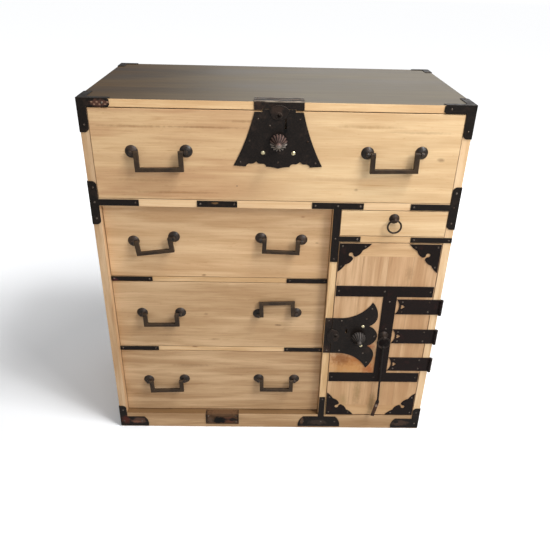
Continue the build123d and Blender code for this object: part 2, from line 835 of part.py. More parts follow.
# Divider: a branched strap at its head and a splayed plate at its foot.
stile = (divider_left + divider_right) / 2
stile_bar_left = divider_left - stile_bar_reach
stile_bar_right = divider_right + stile_bar_reach
stile_foot = mid_rail_under - stile_strap_length
stile_strap = [
    (stile_bar_left, arm_low),
    (divider_left, arm_low),
    (divider_left, stile_foot),
    (divider_right, stile_foot),
    (divider_right, small_low),
    (stile_bar_right, small_low),
    (stile_bar_right, small_high),
    (divider_right, small_high),
    (divider_right, arm_low),
    (stile_bar_right, arm_low),
    (stile_bar_right, arm_high),
    (stile_bar_left, arm_high),
]
foot_plate_centre = stile - foot_plate_shift
foot_top_half = foot_plate_top_width / 2
foot_low_half = foot_plate_foot_width / 2
foot_round_half = foot_low_half - foot_plate_round[0]
foot_round_height = foot_plate_top - foot_plate_round[1]
right_round = (foot_plate_centre + foot_round_half, foot_round_height)
left_round = (foot_plate_centre - foot_round_half, foot_round_height)
foot_strap = [
    (foot_plate_centre - foot_low_half, foot_plate_foot),
    (foot_plate_centre + foot_low_half, foot_plate_foot),
    (right_round, (foot_plate_centre + foot_top_half, foot_plate_top)),
    (divider_right - strap_inset, foot_plate_top),
    (divider_right - strap_inset, foot_strap_height),
    (divider_left, foot_strap_height),
    (divider_left, foot_plate_top),
    (foot_plate_centre - foot_top_half, foot_plate_top),
    (left_round, (foot_plate_centre - foot_low_half, foot_plate_foot)),
]
nodes["divider_irons"] = [front_plate(stile_strap, front, iron), front_plate(foot_strap, front, iron)]
foot_middle = (foot_plate_foot + foot_plate_top) / 2
stile_points = [
    (stile_bar_left + nail_inset, rail_middle),
    (stile, rail_middle),
    (stile_bar_right - nail_inset, rail_middle),
    (stile, small_middle),
    (stile_bar_right - nail_inset, small_middle),
    (stile, stile_foot + nail_inset),
    (stile, foot_strap_height - nail_inset),
    (stile, foot_middle),
    (foot_plate_centre - foot_top_half, foot_middle),
    (foot_plate_centre + foot_top_half, foot_middle),
]
case_nails += front_nails(front_iron, stile_points)

# Plate on the middle of the base: its top leaf is let into the rail, clear of the drawer above.
base_left = base_plate_centre - base_plate_width / 2
base_right = base_plate_centre + base_plate_width / 2
ledge_top = base_rail_height - base_plate_sink
ledge_back = front + base_plate_lap
base_plate = block((base_left, front_iron, base_plate_foot), (base_right, front, ledge_top))
base_plate += block((base_left, front_iron, ledge_top - iron), (base_right, ledge_back, ledge_top))
ledge_cut = block((base_left, front, ledge_top - iron), (base_right, ledge_back, base_rail_height))
nodes["base_centre_plate"] = [base_plate]
nodes["base_rail"] = [nodes["base_rail"][0] - ledge_cut]
base_rows = (base_plate_foot + nail_inset, ledge_top - nail_inset)
plate_points = [(x, z) for x in (base_left + nail_inset, base_right - nail_inset) for z in base_rows]
case_nails += front_nails(front_iron, plate_points)

# ---- Door: planks between two cross battens ---------------------------------------
door_left = divider_right + door_gap
door_right = inner - door_gap
door_low = base_rail_height + door_foot_gap
door_high = small_rail_under - door_foot_gap
low_batten_top = door_low + door_batten_height
high_batten_under = door_high - door_batten_height
plank_width = (door_right - door_left) / door_planks
door_slab = eased(block((door_left, front, door_low), (door_right, door_back, door_high)), front)
board_spans = [
    (door_left, door_right, door_low, low_batten_top),
    (door_left, door_right, high_batten_under, door_high),
]
for start in (door_left + plank_width * plank for plank in range(door_planks)):
    board_spans.append((start, start + plank_width, low_batten_top, high_batten_under))
nodes["door_boards"] = [
    door_slab & block((left, front, low), (right, door_back, high)) for left, right, low, high in board_spans
]

# Straps: two across and a spine between them, just clear of the lock's plate.
door_nails = []
door_upper_strap = door_lower_strap + door_strap_spacing
door_lock_height = (door_lower_strap + door_upper_strap) / 2
door_ring_height = door_lock_height + door_ring_rise
strap_left = door_left + door_strap_margin
strap_right = door_right - door_strap_margin
spine_left = door_left + door_lock_length + door_spine_gap
spine_right = spine_left + door_spine_width
door_spine_centre = (spine_left + spine_right) / 2
nodes["door_irons"] = []
for middle in (door_upper_strap, door_lower_strap):
    low = middle - door_strap_height / 2
    high = middle + door_strap_height / 2
    nodes["door_irons"].append(front_plate(oblong(strap_left, strap_right, low, high), front, iron))
    row = spread(strap_left + nail_inset, strap_right - nail_inset, door_strap_nails)
    door_nails += front_nails(front_iron, [(x, middle) for x in row])
spine_low = door_lower_strap + door_strap_height / 2
spine_high = door_upper_strap - door_strap_height / 2
spine = front_plate(oblong(spine_left, spine_right, spine_low, spine_high), front, iron)
spine_rows = (spine_low + 2 * nail_inset, door_ring_height + spine_nail_rise, spine_high - 2 * nail_inset)
door_nails += front_nails(front_iron, [(door_spine_centre, z) for z in spine_rows])


def corner_fitting():
    """Pierced ogee corner piece with its corner at the origin, running along +X and -Z."""
    arcs = (fitting_toe_via, fitting_cusp, fitting_lobe_via, fitting_lobe)
    toe_via, cusp, lobe_via, lobe = [(x, -z) for x, z in arcs]
    notch = (fitting_notch, -fitting_notch)
    wing = [(0, 0), (fitting_leg, 0), (toe_via, cusp), (lobe_via, lobe), notch]
    shape = front_plate(wing, 0, iron)
    shape += mirror(shape, about=Plane(origin=(0, 0, 0), z_dir=(1, 0, 1)))
    across = Pos(fitting_hole_offset, 0, -fitting_hole_offset)
    shape -= across * Rot(90, 0, 0) * Cylinder(fitting_hole_radius, 4 * iron)
    slot = Pos(fitting_leg / 2, 0, 0) * Box(fitting_leg, 4 * iron, fitting_slot)
    return shape - across * Rot(0, 45, 0) * slot


door_middle_x = (door_left + door_right) / 2
door_middle_z = (door_low + door_high) / 2
fitting_corner = Pos(door_left + fitting_margin, front, door_high - fitting_margin)
high_left = fitting_corner * corner_fitting()
across_door = Plane(origin=(door_middle_x, 0, 0), z_dir=(1, 0, 0))
down_door = Plane(origin=(0, 0, door_middle_z), z_dir=(0, 0, 1))
high_right = mirror(high_left, about=across_door)
nodes["door_irons"] += [high_left, high_right]
nodes["door_irons"] += [mirror(high_left, about=down_door), mirror(high_right, about=down_door)]
toe = fitting_leg - 2 * nail_inset
for x, z in ((nail_inset, nail_inset), (toe, nail_inset), (nail_inset, toe)):
    reach_x = (door_right - door_left) / 2 - fitting_margin - x
    reach_z = (door_high - door_low) / 2 - fitting_margin - z
    corners = [(door_middle_x + i * reach_x, door_middle_z + j * reach_z) for i in (-1, 1) for j in (-1, 1)]
    door_nails += front_nails(front_iron, corners)

# ---- Strap hinges: the pin stands outside the corner, so the door folds back flat -------
hinge_x = half + hinge_axis_offset
hinge_y = front - hinge_axis_offset
hinge_tail = spine_right + hinge_tail_gap
highest_hinge = spine_high - hinge_upper_gap - hinge_height / 2
lowest_hinge = spine_low + hinge_lower_gap + hinge_height / 2
hinge_centres = spread(highest_hinge, lowest_hinge, 3)
running_hole = hinge_pin_radius + hinge_running_clearance
fixed_hole = hinge_pin_radius + hinge_fixed_clearance
knuckle_room = hinge_knuckle_radius + hinge_leaf_clearance
on_axis = Pos(hinge_x, hinge_y, 0)


def heart():
    """Heart-shaped piercing that points to +X, through a plate in the XZ plane."""
    lobe_x, lobe_z = heart_lobe
    stops = [
        (heart_tip, 0),
        (0, heart_half),
        ((-lobe_x, lobe_z), (-heart_cleft, 0)),
        ((-lobe_x, -lobe_z), (0, -heart_half)),
    ]
    return front_plate(stops, 2 * hinge_leaf, 4 * hinge_leaf)


def door_leaf(middle):
    """Front leaf of a hinge with a fishtail end and the middle knuckle."""
    low = middle - hinge_height / 2
    high = middle + hinge_height / 2
    tail = ((hinge_tail + hinge_tail_bite, middle), (hinge_tail, low))
    stops = [(hinge_tail, low), (hinge_x, low), (hinge_x, high), (hinge_tail, high), tail]
    leaf = front_plate(stops, front, hinge_leaf)
    leaf -= on_axis * upright(knuckle_room, low - hinge_gap, low + hinge_end_share + hinge_gap)
    leaf -= on_axis * upright(knuckle_room, high - hinge_end_share - hinge_gap, high + hinge_gap)
    knuckle_low = low + hinge_end_share + hinge_gap
    knuckle_high = high - hinge_end_share - hinge_gap
    leaf += on_axis * upright(hinge_knuckle_radius, knuckle_low, knuckle_high)
    leaf -= on_axis * upright(running_hole, low - hinge_gap, high + hinge_gap)
    return leaf - Pos(hinge_tail + hinge_heart_offset, front, middle) * heart()


def side_leaf(middle):
    """Leaf on the right side of the case, with the end knuckles and an ogee end."""
    low = middle - hinge_height / 2
    high = middle + hinge_height / 2
    shoulder = front + hinge_side_shoulder
    tip = front + hinge_side_length
    bulge = (shoulder + tip) / 2
    stops = [
        (hinge_y, low),
        (shoulder, low),
        ((bulge, middle - hinge_side_bulge), (tip, middle)),
        ((bulge, middle + hinge_side_bulge), (shoulder, high)),
        (hinge_y, high),
    ]
    leaf = mirrored(left_plate(stops, -half, hinge_leaf))
    leaf -= on_axis * upright(knuckle_room, low + hinge_end_share, high - hinge_end_share)
    leaf += on_axis * upright(hinge_knuckle_radius, low, low + hinge_end_share)
    leaf += on_axis * upright(hinge_knuckle_radius, high - hinge_end_share, high)
    return leaf - on_axis * upright(fixed_hole, low - hinge_gap, high + hinge_gap)


def hinge_pin(middle):
    """Pin with a head at each end, resting on the case's knuckles."""
    low = middle - hinge_height / 2
    high = middle + hinge_height / 2
    pin = upright(hinge_pin_radius, low, high)
    pin += upright(hinge_pin_head_radius, low - hinge_pin_head_height, low)
    pin += upright(hinge_pin_head_radius, high, high + hinge_pin_head_height)
    return on_axis * pin


nodes["door_hinge_leaves"] = [door_leaf(middle) for middle in hinge_centres]
nodes["side_hinge_leaves"] = [side_leaf(middle) for middle in hinge_centres]
nodes["side_hinge_leaves"] += [hinge_pin(middle) for middle in hinge_centres]
leaf_nail_row = hinge_height / 2 - nail_inset
for middle in hinge_centres:
    rows = (middle - leaf_nail_row, middle + leaf_nail_row)
    columns = (hinge_tail + 2 * nail_inset, door_right - nail_inset)
    door_nails += front_nails(front - hinge_leaf, [(x, z) for x in columns for z in rows])
    side_points = [(front + 2 * nail_inset, z) for z in rows] + [(front + hinge_side_shoulder, middle)]
    case_nails += [mirrored(nail) for nail in left_nails(-half - hinge_leaf, side_points)]

# ---- Door pull and the key that hangs on it ------------------------------------------
door_ring_x = door_spine_centre - door_ring_shift
door_ring_y = front_iron - ring_standoff
pull_place = facing_front(door_ring_x, door_ring_height, front_iron)
nodes["door_pull_post"] = [pull_place * piece for piece in ring_post(door_thickness + iron)]
nodes["door_pull_ring"] = [Pos(door_ring_x, door_ring_y, door_ring_height) * pull_ring()]
pull_hole = pull_place * upright(post_stem_radius, -2 * door_thickness, rosette_height)
nodes["door_irons"].append(spine - pull_hole)
nodes["door_boards"] = [board - pull_hole for board in nodes["door_boards"]]

key_z = door_ring_height - 2 * ring_radius


def key():
    """Iron key hanging along -Z from the ring through its eye at the origin."""
    shaft_top = -key_eye_radius + key_shaft_radius / 2
    shaft_low = shaft_top - key_shaft_length
    shaft = upright(key_shaft_radius, shaft_low, shaft_top)
    shaft += upright(key_collar_radius, shaft_low, shaft_low + key_collar_length)
    bit = Pos(0, 0, -key_bit_length / 2) * Box(key_bit_width, key_bit_thickness, key_bit_length)
    for step in range(key_notches):
        notch_z = -key_bit_length + key_notch * (2 * step + 3 / 2)
        notch_x = key_bit_width / 2 - key_notch / 2
        bit -= Pos(notch_x, 0, notch_z) * Box(key_notch, 2 * key_bit_thickness, key_notch)
    shaft += Pos(0, 0, shaft_low + key_collar_length / 2) * Rot(0, key_bit_lean + key_lean, 0) * bit
    eye = Rot(0, 90, 0) * Cylinder(key_eye_radius, key_eye_width)
    hanging = eye + Rot(0, -key_lean, 0) * shaft
    return hanging - Rot(0, 90, 0) * Cylinder(key_eye_hole, 4 * key_eye_width)


nodes["hanging_key"] = [Pos(door_ring_x, door_ring_y, key_z) * key()]

# ---- Locks: pushing the fluted knob wedges the bolt out of the edge --------------------
# Each lock is drawn with its knob at the origin on a face at y = 0 and its bolt along +Z.
cone_length = knob_core_radius - knob_cone_tip_radius
outward = Rot(90, 0, 0)


def push_knob():
    """Fluted knob on a round core that ends in a 45 degree cone."""
    rim_back = plate + knob_back_gap
    rim_front = rim_back + knob_rim
    cap_slope = knob_radius - knob_cap_radius
    shape = upright(knob_core_radius, -knob_cone_start, rim_back)
    cone = Cone(knob_cone_tip_radius, knob_core_radius, cone_length)
    shape += Pos(0, 0, -knob_cone_start - cone_length / 2) * cone
    shape += upright(knob_radius, rim_back, rim_front)
    shape += Pos(0, 0, rim_front + knob_cap_height / 2) * Cone(knob_radius, knob_cap_radius, knob_cap_height)
    flute_length = hypot(cap_slope, knob_cap_height) + knob_rim
    flute_turn = degrees(atan2(cap_slope, knob_cap_height))
    flute = Cone(knob_flute_radius, knob_flute_tip_radius, flute_length)
    on_slope = Pos((knob_radius + knob_cap_radius) / 2, 0, rim_front + knob_cap_height / 2)
    flute = on_slope * Rot(0, -flute_turn, 0) * flute
    shape -= [Rot(0, 0, 360 / knob_flutes * turn) * flute for turn in range(knob_flutes)]
    shape += Pos(0, 0, rim_front + knob_cap_height - knob_tip_sink) * Sphere(knob_tip_radius)
    return outward * shape


def bolt(edge):
    """Flat bolt inside the board, from the cone to just short of the board's edge."""
    near = bolt_depth
    far = bolt_depth + bolt_thickness
    foot = knob_core_radius + knob_cone_start + bolt_gap * sqrt(2)
    end = edge - bolt_recess
    section = outline([(near, foot - near), (far, foot - far), (far, end), (near, end)])
    return extrude(Plane.YZ * section, bolt_width / 2, both=True)


def lock_cut(edge):
    """The knob's hole and the bolt's channel in a board."""
    hole_depth = knob_cone_start + cone_length + knob_travel + knob_hole_spare
    hole = outward * upright(knob_core_radius + knob_fit, -hole_depth, 4 * plate)
    side = bolt_width / 2 + bolt_fit
    channel_low = (-side, bolt_depth - bolt_fit, 0)
    channel_high = (side, bolt_depth + bolt_thickness + bolt_fit, edge + bolt_recess)
    return hole + block(channel_low, channel_high)


def strike_cut(edge, gap):
    """The slot that the bolt enters beyond the board's edge and the gap around it."""
    side = bolt_width / 2 + strike_slot_fit
    low = (-side, bolt_depth - strike_slot_fit, edge)
    high = (side, bolt_depth + bolt_thickness + strike_slot_fit, edge + gap + strike_slot_depth)
    return block(low, high)


def keyhole_cut(x, low, length):
    """Upright slot with a round foot through the plate and into the board."""
    slot_low = (x - keyhole_width / 2, -2 * plate, low)
    slot = block(slot_low, (x + keyhole_width / 2, keyhole_depth, low + length))
    eye = outward * upright(keyhole_eye_radius, -keyhole_depth, 2 * plate)
    return slot + Pos(x, 0, low) * eye


def keyhole_cover():
    """Fan-shaped cover that hangs on its rivet, with a low boss round it."""
    top = ((0, cover_top), (-cover_half_width, cover_shoulder))
    foot = ((0, -cover_foot), (cover_waist, -cover_waist_fall))
    stops = [(cover_half_width, cover_shoulder), top, (-cover_waist, -cover_waist_fall), foot]
    back = plate + cover_gap
    shape = front_plate(stops, -back, cover_thickness)
    boss_front = back + cover_thickness + cover_boss_height
    shape += outward * upright(cover_boss_radius, back, boss_front)
    return shape - outward * upright(cover_rivet_radius + cover_rivet_fit, 0, 2 * boss_front)


def cover_rivet():
    """Rivet that holds the cover to its plate."""
    head_back = plate + cover_thickness + cover_boss_height + 2 * cover_gap
    shape = upright(cover_rivet_radius, -cover_rivet_length, head_back)
    return outward * (shape + Pos(0, 0, head_back) * dome(cover_rivet_head, stud_height))


# ---- Lock of the top drawer --------------------------------------------------------
top_front_high = top_under - top_drawer_head_gap
top_knob_z = top_under - top_knob_drop
top_place = Pos(lock_centre, front, top_knob_z)
top_edge = top_front_high - top_knob_z
top_cover_z = top_under - top_cover_drop

shoulder_z = top_under - lock_shoulder_gap
tab_z = top_under + lock_tab_rise
flare_z = shoulder_z - lock_length
top_lock_half = [(0, tab_z), (0, flare_z - lock_tip_fall)]
for (via_x, via_rise), (end_x, end_rise) in lock_scallops:
    top_lock_half.append(((via_x, flare_z + via_rise), (end_x, flare_z + end_rise)))
top_lock_half += [
    (lock_flare, flare_z),
    ((lock_waist, (flare_z + shoulder_z) / 2), (lock_shoulder, shoulder_z)),
    (lock_tab, shoulder_z),
    (lock_tab, tab_z),
]
top_lock_plate = front_plate(top_lock_half, 0, plate)
top_lock_plate += mirrored(top_lock_plate)
top_keyhole = keyhole_cut(top_keyhole_offset, top_keyhole_low, top_keyhole_length)
top_cut = top_place * (lock_cut(top_edge) + top_keyhole)
nodes["top_lock_plate"] = [Pos(lock_centre, front, 0) * top_lock_plate - top_cut]
nodes["top_drawer_front"] = [nodes["top_drawer_front"][0] - top_cut]
nodes["top_board"] = [nodes["top_board"][0] - top_place * strike_cut(top_edge, top_drawer_head_gap)]
nodes["top_lock_knob"] = [top_place * push_knob()]
nodes["top_lock_bolt"] = [top_place * bolt(top_edge)]
cover_place = Pos(lock_centre, front, top_cover_z)
nodes["top_keyhole_cover"] = [cover_place * keyhole_cover()]
top_studs = [(lock_centre + way * stud_spread, top_knob_z - stud_fall) for way in (-1, 1)]
nodes["top_lock_studs"] = [facing_front(x, z, front - plate) * stud_shape for x, z in top_studs]

plate_foot = flare_z + nail_inset
top_lock_points = [(0, plate_foot), (lock_left_nail[0], top_knob_z + lock_left_nail[1])]
for way in (-1, 1):
    top_lock_points.append((way * (lock_flare - 2 * nail_inset), plate_foot))
    top_lock_points.append((way * (lock_waist - nail_inset), top_knob_z))
    top_lock_points.append((way * (lock_shoulder - nail_inset), shoulder_z - 2 * nail_inset))
nail_points = [(lock_centre + x, z) for x, z in top_lock_points]
nodes["top_lock_nails"] = front_nails(front - plate, nail_points) + [cover_place * cover_rivet()]

# Strike on the top board: notched over the drawer's plate, folded back over the top in two steps.
strike_low = top_under + strike_rise
notch_top = tab_z + strike_clearance
notch_half = lock_tab + strike_clearance
strike_front = [
    (-strike_half_width, strike_low),
    (-notch_half, strike_low),
    (-notch_half, notch_top),
    (notch_half, notch_top),
    (notch_half, strike_low),
    (strike_half_width, strike_low),
    (strike_half_width, top_iron),
    (-strike_half_width, top_iron),
]
top_strike = front_plate(strike_front, front, iron)
strike_top_low = (-strike_half_width, front_iron, case_height)
top_strike += block(strike_top_low, (strike_half_width, front + strike_depth, top_iron))
step_high = (strike_half_width, front + strike_step, top_iron + strike_step_thickness)
top_strike += block(strike_top_low, step_high)
top_strike = Pos(lock_centre, 0, 0) * top_strike
strike_nail_x = (lock_centre - strike_half_width + nail_inset, lock_centre + strike_half_width - nail_inset)
case_nails += top_nails(top_iron, [(x, front + strike_depth - nail_inset) for x in strike_nail_x])

# ---- Lock of the door ----------------------------------------------------------------
door_knob_x = door_left + door_knob_reach
door_place = Pos(door_knob_x, front, door_lock_height) * Rot(0, -90, 0)
door_lock_half = [
    (0, 0),
    (0, door_lock_shoulder),
    (door_lock_straight, door_lock_shoulder),
    (door_lock_curve, door_lock_horn),
    (door_lock_bulge_via, door_lock_bulge),
    (door_lock_cusp_via, door_lock_cusp),
    (door_lock_tip_via, (door_lock_length, 0)),
]
door_lock_plate = front_plate(door_lock_half, 0, plate)
door_lock_plate += mirror(door_lock_plate, about=Plane.XY)
door_keyhole_x = door_knob_x - door_keyhole_reach
door_keyhole = keyhole_cut(0, door_keyhole_low, door_keyhole_length)
keyhole_place = Pos(door_keyhole_x, front, door_lock_height)
door_cut = door_place * lock_cut(door_knob_reach) + keyhole_place * door_keyhole
nodes["door_lock_plate"] = [Pos(door_left, front, door_lock_height) * door_lock_plate - door_cut]
nodes["door_boards"] = [board - door_cut for board in nodes["door_boards"]]
nodes["divider_board"] = [nodes["divider_board"][0] - door_place * strike_cut(door_knob_reach, door_gap)]
nodes["door_lock_knob"] = [door_place * push_knob()]
nodes["door_lock_bolt"] = [door_place * bolt(door_knob_reach)]
door_cover_place = door_place * Pos(0, 0, door_cover_reach)
nodes["door_keyhole_cover"] = [door_cover_place * keyhole_cover()]
door_studs = [(door_knob_x + door_stud_reach, door_lock_height + way * door_stud_spread) for way in (-1, 1)]
nodes["door_lock_studs"] = [facing_front(x, z, front - plate) * stud_shape for x, z in door_studs]
door_lock_points = []
for way in (-1, 1):
    for x, z in (
        (3 * nail_inset, door_lock_shoulder - nail_inset),
        (door_lock_horn[0], door_lock_horn[1] - 2.5 * nail_inset),
        (door_lock_horn[0] - 1.5 * nail_inset, door_lock_shoulder),
    ):
        door_lock_points.append((door_left + x, door_lock_height + way * z))
door_lock_points.append((door_left + door_lock_length - nail_inset, door_lock_height))
door_nails += front_nails(front - plate, door_lock_points) + [door_cover_place * cover_rivet()]
nodes["door_nails"] = door_nails

door_strike_low = door_lock_height - door_lock_shoulder
door_strike_high = door_lock_height + door_lock_shoulder
door_strike = oblong(divider_left, divider_right, door_strike_low, door_strike_high)
nodes["strike_plates"] = [top_strike, front_plate(door_strike, front, iron)]
stile_rows = (door_strike_low + nail_inset, door_strike_high - nail_inset)
case_nails += front_nails(front_iron, [(stile, z) for z in stile_rows])
nodes["case_nails"] = case_nails

# ---- Holes for the nails and studs, then one file for each node ---------------------
case_boards = ["case_side_left", "case_side_right", "top_board", "base_rail", "mid_rail"]
case_boards += ["lower_rails", "divider_board", "back_boards"]
case_irons = ["corner_irons", "rail_straps", "divider_irons", "base_centre_plate"]
case_irons += ["strike_plates", "side_hinge_leaves"]
bore(case_boards + case_irons, case_nails)
bore(["door_boards", "door_irons", "door_hinge_leaves", "door_lock_plate"], door_nails)
bore(["door_boards", "door_lock_plate"], nodes["door_lock_studs"])
bore(["top_drawer_front", "top_lock_plate"], nodes["top_lock_nails"] + nodes["top_lock_studs"])

os.makedirs("parts", exist_ok=True)
for name, pieces in nodes.items():
    found = [solid for piece in pieces for solid in piece.solids()]
    export_step(Compound(found), "parts/" + name + ".step")
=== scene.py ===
from math import cos, radians, sin

import bpy
from mathutils import Matrix, Vector


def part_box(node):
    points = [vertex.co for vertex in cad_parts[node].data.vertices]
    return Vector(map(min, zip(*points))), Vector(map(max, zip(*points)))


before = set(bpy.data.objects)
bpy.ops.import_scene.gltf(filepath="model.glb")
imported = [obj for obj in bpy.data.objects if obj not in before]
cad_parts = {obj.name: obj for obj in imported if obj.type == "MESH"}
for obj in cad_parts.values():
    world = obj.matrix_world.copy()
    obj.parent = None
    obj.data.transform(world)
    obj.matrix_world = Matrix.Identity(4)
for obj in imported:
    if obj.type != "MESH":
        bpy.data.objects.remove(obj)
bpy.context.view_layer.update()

# ---- Side boards ---------------------------------------------------------------------------
# The two sides are wide boards of kiri, the light paulownia wood of clothing chests, planed and
# left bare. Age has warmed them. Their grain runs upright, and the front edges are seen.


def linear(colour):
    """Linear colour of an sRGB hex value."""
    parts = [int(colour[i : i + 2], 16) / 255 for i in (1, 3, 5)]
    return [c / 12.92 if c <= 0.04045 else ((c + 0.055) / 1.055) ** 2.4 for c in parts] + [1]


def add(tree, kind, *inputs, out=0, **settings):
    """Adds a node and gives one output.

    An input is a value, a hex colour, a socket to link, or None to leave it as it is.
    """
    made = tree.nodes.new("ShaderNode" + kind)
    given = list(enumerate(inputs))
    for name, value in settings.items():
        if hasattr(made, name):
            setattr(made, name, value)
        else:
            given.append((name.replace("_", " "), value))
    for socket, value in given:
        if isinstance(value, bpy.types.NodeSocket):
            tree.links.new(value, made.inputs[socket])
        elif isinstance(value, str):
            made.inputs[socket].default_value = linear(value)
        elif value is not None:
            made.inputs[socket].default_value = value
    return made.outputs[out]


def finish_of(name):
    """New material: the material, its tree, its shader and the place in the chest's frame."""
    made = bpy.data.materials.new(name)
    made.use_nodes = True
    tree = made.node_tree
    return made, tree, tree.nodes["Principled BSDF"], add(tree, "TexCoord", out="Object")


def streaks(tree, place, grain, drift, along, across, detail=2.0):
    """Noise drawn out along the grain; the two sizes are those of its marks, in millimetres."""
    sizes = [1000 / across] * 3
    sizes["XYZ".index(grain)] = 1000 / along
    start = (drift, drift * 1.7, drift * 0.6)
    spot = add(tree, "Mapping", place, start, None, sizes)
    return add(tree, "TexNoise", spot, Scale=1.0, Detail=detail, Roughness=0.55, Distortion=0.35)


def kiri_figure(tree, place, pale, brown, grain, drift):
    """Colour and height of planed kiri; the drift takes the figure from another board."""
    # Soft bands, and faint streaks that come and go in patches.
    band = streaks(tree, place, grain, drift, 300, 30, 3)
    band = add(tree, "MapRange", band, 0.38, 0.62)
    patch = streaks(tree, place, grain, drift + 2, 240, 60)
    patch = add(tree, "MapRange", patch, 0.42, 0.58, 0.2, 1.0)
    streak = streaks(tree, place, grain, drift + 3, 150, 7, 3)
    streak = add(tree, "MapRange", streak, 0.5, 0.72, 0.0, 0.85)
    streak = add(tree, "Math", streak, patch, operation="MULTIPLY")
    fibre = streaks(tree, place, grain, drift + 7, 90, 2.6, 3)
    fibre = add(tree, "MapRange", fibre, 0.45, 0.7, 0.0, 0.22)
    # A few growth lines: a slow noise is folded six times and leaves a thin line at each fold.
    folds = 6.0
    line_half = 0.035
    wander = streaks(tree, place, grain, drift + 9, 1500, 46, 1)
    wander = add(tree, "Math", wander, folds, operation="MULTIPLY")
    wander = add(tree, "Math", wander, 0.5, operation="PINGPONG")
    ring = add(tree, "MapRange", wander, line_half, 0.0)
    kept = streaks(tree, place, grain, drift + 5, 260, 40)
    kept = add(tree, "MapRange", kept, 0.46, 0.66, 0.0, 0.42)
    ring = add(tree, "Math", ring, kept, operation="MULTIPLY")
    # Short open pores. Real ones are about 0.3 mm across, too fine to show, so these are 1.6 mm.
    pore = streaks(tree, place, grain, drift + 11, 15, 1.6, 1)
    pore = add(tree, "MapRange", pore, 0.66, 0.76, 0.0, 0.3)
    colour = add(tree, "MixRGB", band, pale, brown)
    colour = add(tree, "MixRGB", streak, colour, brown)
    for mark in (fibre, ring, pore):
        colour = add(tree, "MixRGB", mark, colour, brown, blend_type="MULTIPLY")
    height = add(tree, "Math", fibre, pore, operation="ADD")
    return colour, add(tree, "Math", height, ring, operation="ADD")


def touched(tree, place, colour, touches, soft=0.4):
    """Lays ragged spots of other colours, seen from the front, over a finish.

    A touch has x and z of its middle, half its width and height in metres, colour and strength.
    """
    # The noise adds about a half, so a touch fades out at 0.6 of its half width and height.
    rim = 1.1
    ragged = add(tree, "TexNoise", place, Scale=1000 / 7.143, Detail=4.0)
    for x, z, wide, high, tint, strength in touches:
        spot = add(tree, "Mapping", place, (-x / wide, 0, -z / high), None, (1 / wide, 0, 1 / high))
        far = add(tree, "VectorMath", spot, out="Value", operation="LENGTH")
        far = add(tree, "Math", far, ragged, operation="ADD")
        cover = add(tree, "MapRange", far, rim + soft, rim - soft, 0.0, strength)
        colour = add(tree, "MixRGB", cover, colour, tint)
    return colour


def wood_surface(tree, shader, colour, height):
    """Dry satin of bare wood: painted shade browns the corners by the irons, and handling has
    softened the edges.
    """
    corner = add(tree, "AmbientOcclusion", Distance=0.008, samples=6, out="AO")
    # Painted shade: the wood turns brown where the occlusion node finds a corner or a gap.
    corner_shade = add(tree, "MapRange", corner, 0.75, 0.2, 0.0, 0.42)
    tree.links.new(add(tree, "MixRGB", corner_shade, colour, "#6A4A2E"), shader.inputs["Base Color"])
    edge = add(tree, "Bevel", Radius=0.0009, samples=4)
    bump = add(tree, "Bump", Strength=0.25, Distance=0.0004, Height=height, Normal=edge)
    tree.links.new(bump, shader.inputs["Normal"])
    rough = add(tree, "MapRange", height, 0.0, 0.9, 0.5, 0.68)
    tree.links.new(rough, shader.inputs["Roughness"])
    shader.inputs["Specular IOR Level"].default_value = 0.35


def kiri(name, pale, brown, grain, drift, touches=()):
    """Planed bare kiri with its grain along one axis."""
    made, tree, shader, place = finish_of(name)
    colour, height = kiri_figure(tree, place, pale, brown, grain, drift)
    wood_surface(tree, shader, touched(tree, place, colour, touches), height)
    return made


def dress(material, *nodes):
    """Gives CAD nodes their finish."""
    for node in nodes:
        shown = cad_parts[node]
        shown.data.materials.clear()
        shown.data.materials.append(material)
        for face in shown.data.polygons:
            face.material_index = 0


# Bare planed kiri: a soft satin with pale and tan bands. The left side is given darker colours.
dress(kiri("bare_kiri_side_left", "#DBBB95", "#C19C74", "Z", 0.3), "case_side_left")
dress(kiri("bare_kiri_side_right", "#F4D5AC", "#E2BD90", "Z", 5.1), "case_side_right")

# ---- Top board -----------------------------------------------------------------------------
# The top is a kiri board too. Its upper face was stained dark brown and rubbed. A painted sheen
# makes it grey over the right and the middle; the front edge stayed bare.
made, tree, shader, place = finish_of("stained_kiri_top")
edge_colour, edge_height = kiri_figure(tree, place, "#F0CC9B", "#DDB483", "X", 9.4)

# Rubbed stain: broad lighter swathes and thin dark lines along the grain.
rubbed = add(tree, "MapRange", streaks(tree, place, "X", 2.2, 420, 90, 5), 0.38, 0.62)
lines = add(tree, "MapRange", streaks(tree, place, "X", 4.4, 380, 9, 3), 0.36, 0.7, 0.0, 0.45)
haze = add(tree, "TexNoise", place, Scale=1000 / 181.82, Detail=5.0)

# The painted sheen grows from the left end and is full past the middle, with a cloudy border. Its
# limits are the distance to the right plus the cloud, which adds about 0.15.
sheen_from, sheen_full = -0.32, 0.2
across = add(tree, "SeparateXYZ", place)
cloud = add(tree, "Math", haze, 0.3, operation="MULTIPLY")
painted_sheen = add(tree, "Math", across, cloud, operation="ADD")
painted_sheen = add(tree, "MapRange", painted_sheen, sheen_from, sheen_full)
stain = add(tree, "MixRGB", rubbed, "#35240D", "#4E3818")
stain = add(tree, "MixRGB", lines, stain, "#2B2018")
# Painted sheen: the stain's colours are lighter and greyer where the top shines.
grey = add(tree, "MixRGB", rubbed, "#5A5142", "#716857")
grey = add(tree, "MixRGB", lines, grey, "#4A4238")
stain = add(tree, "MixRGB", painted_sheen, stain, grey)

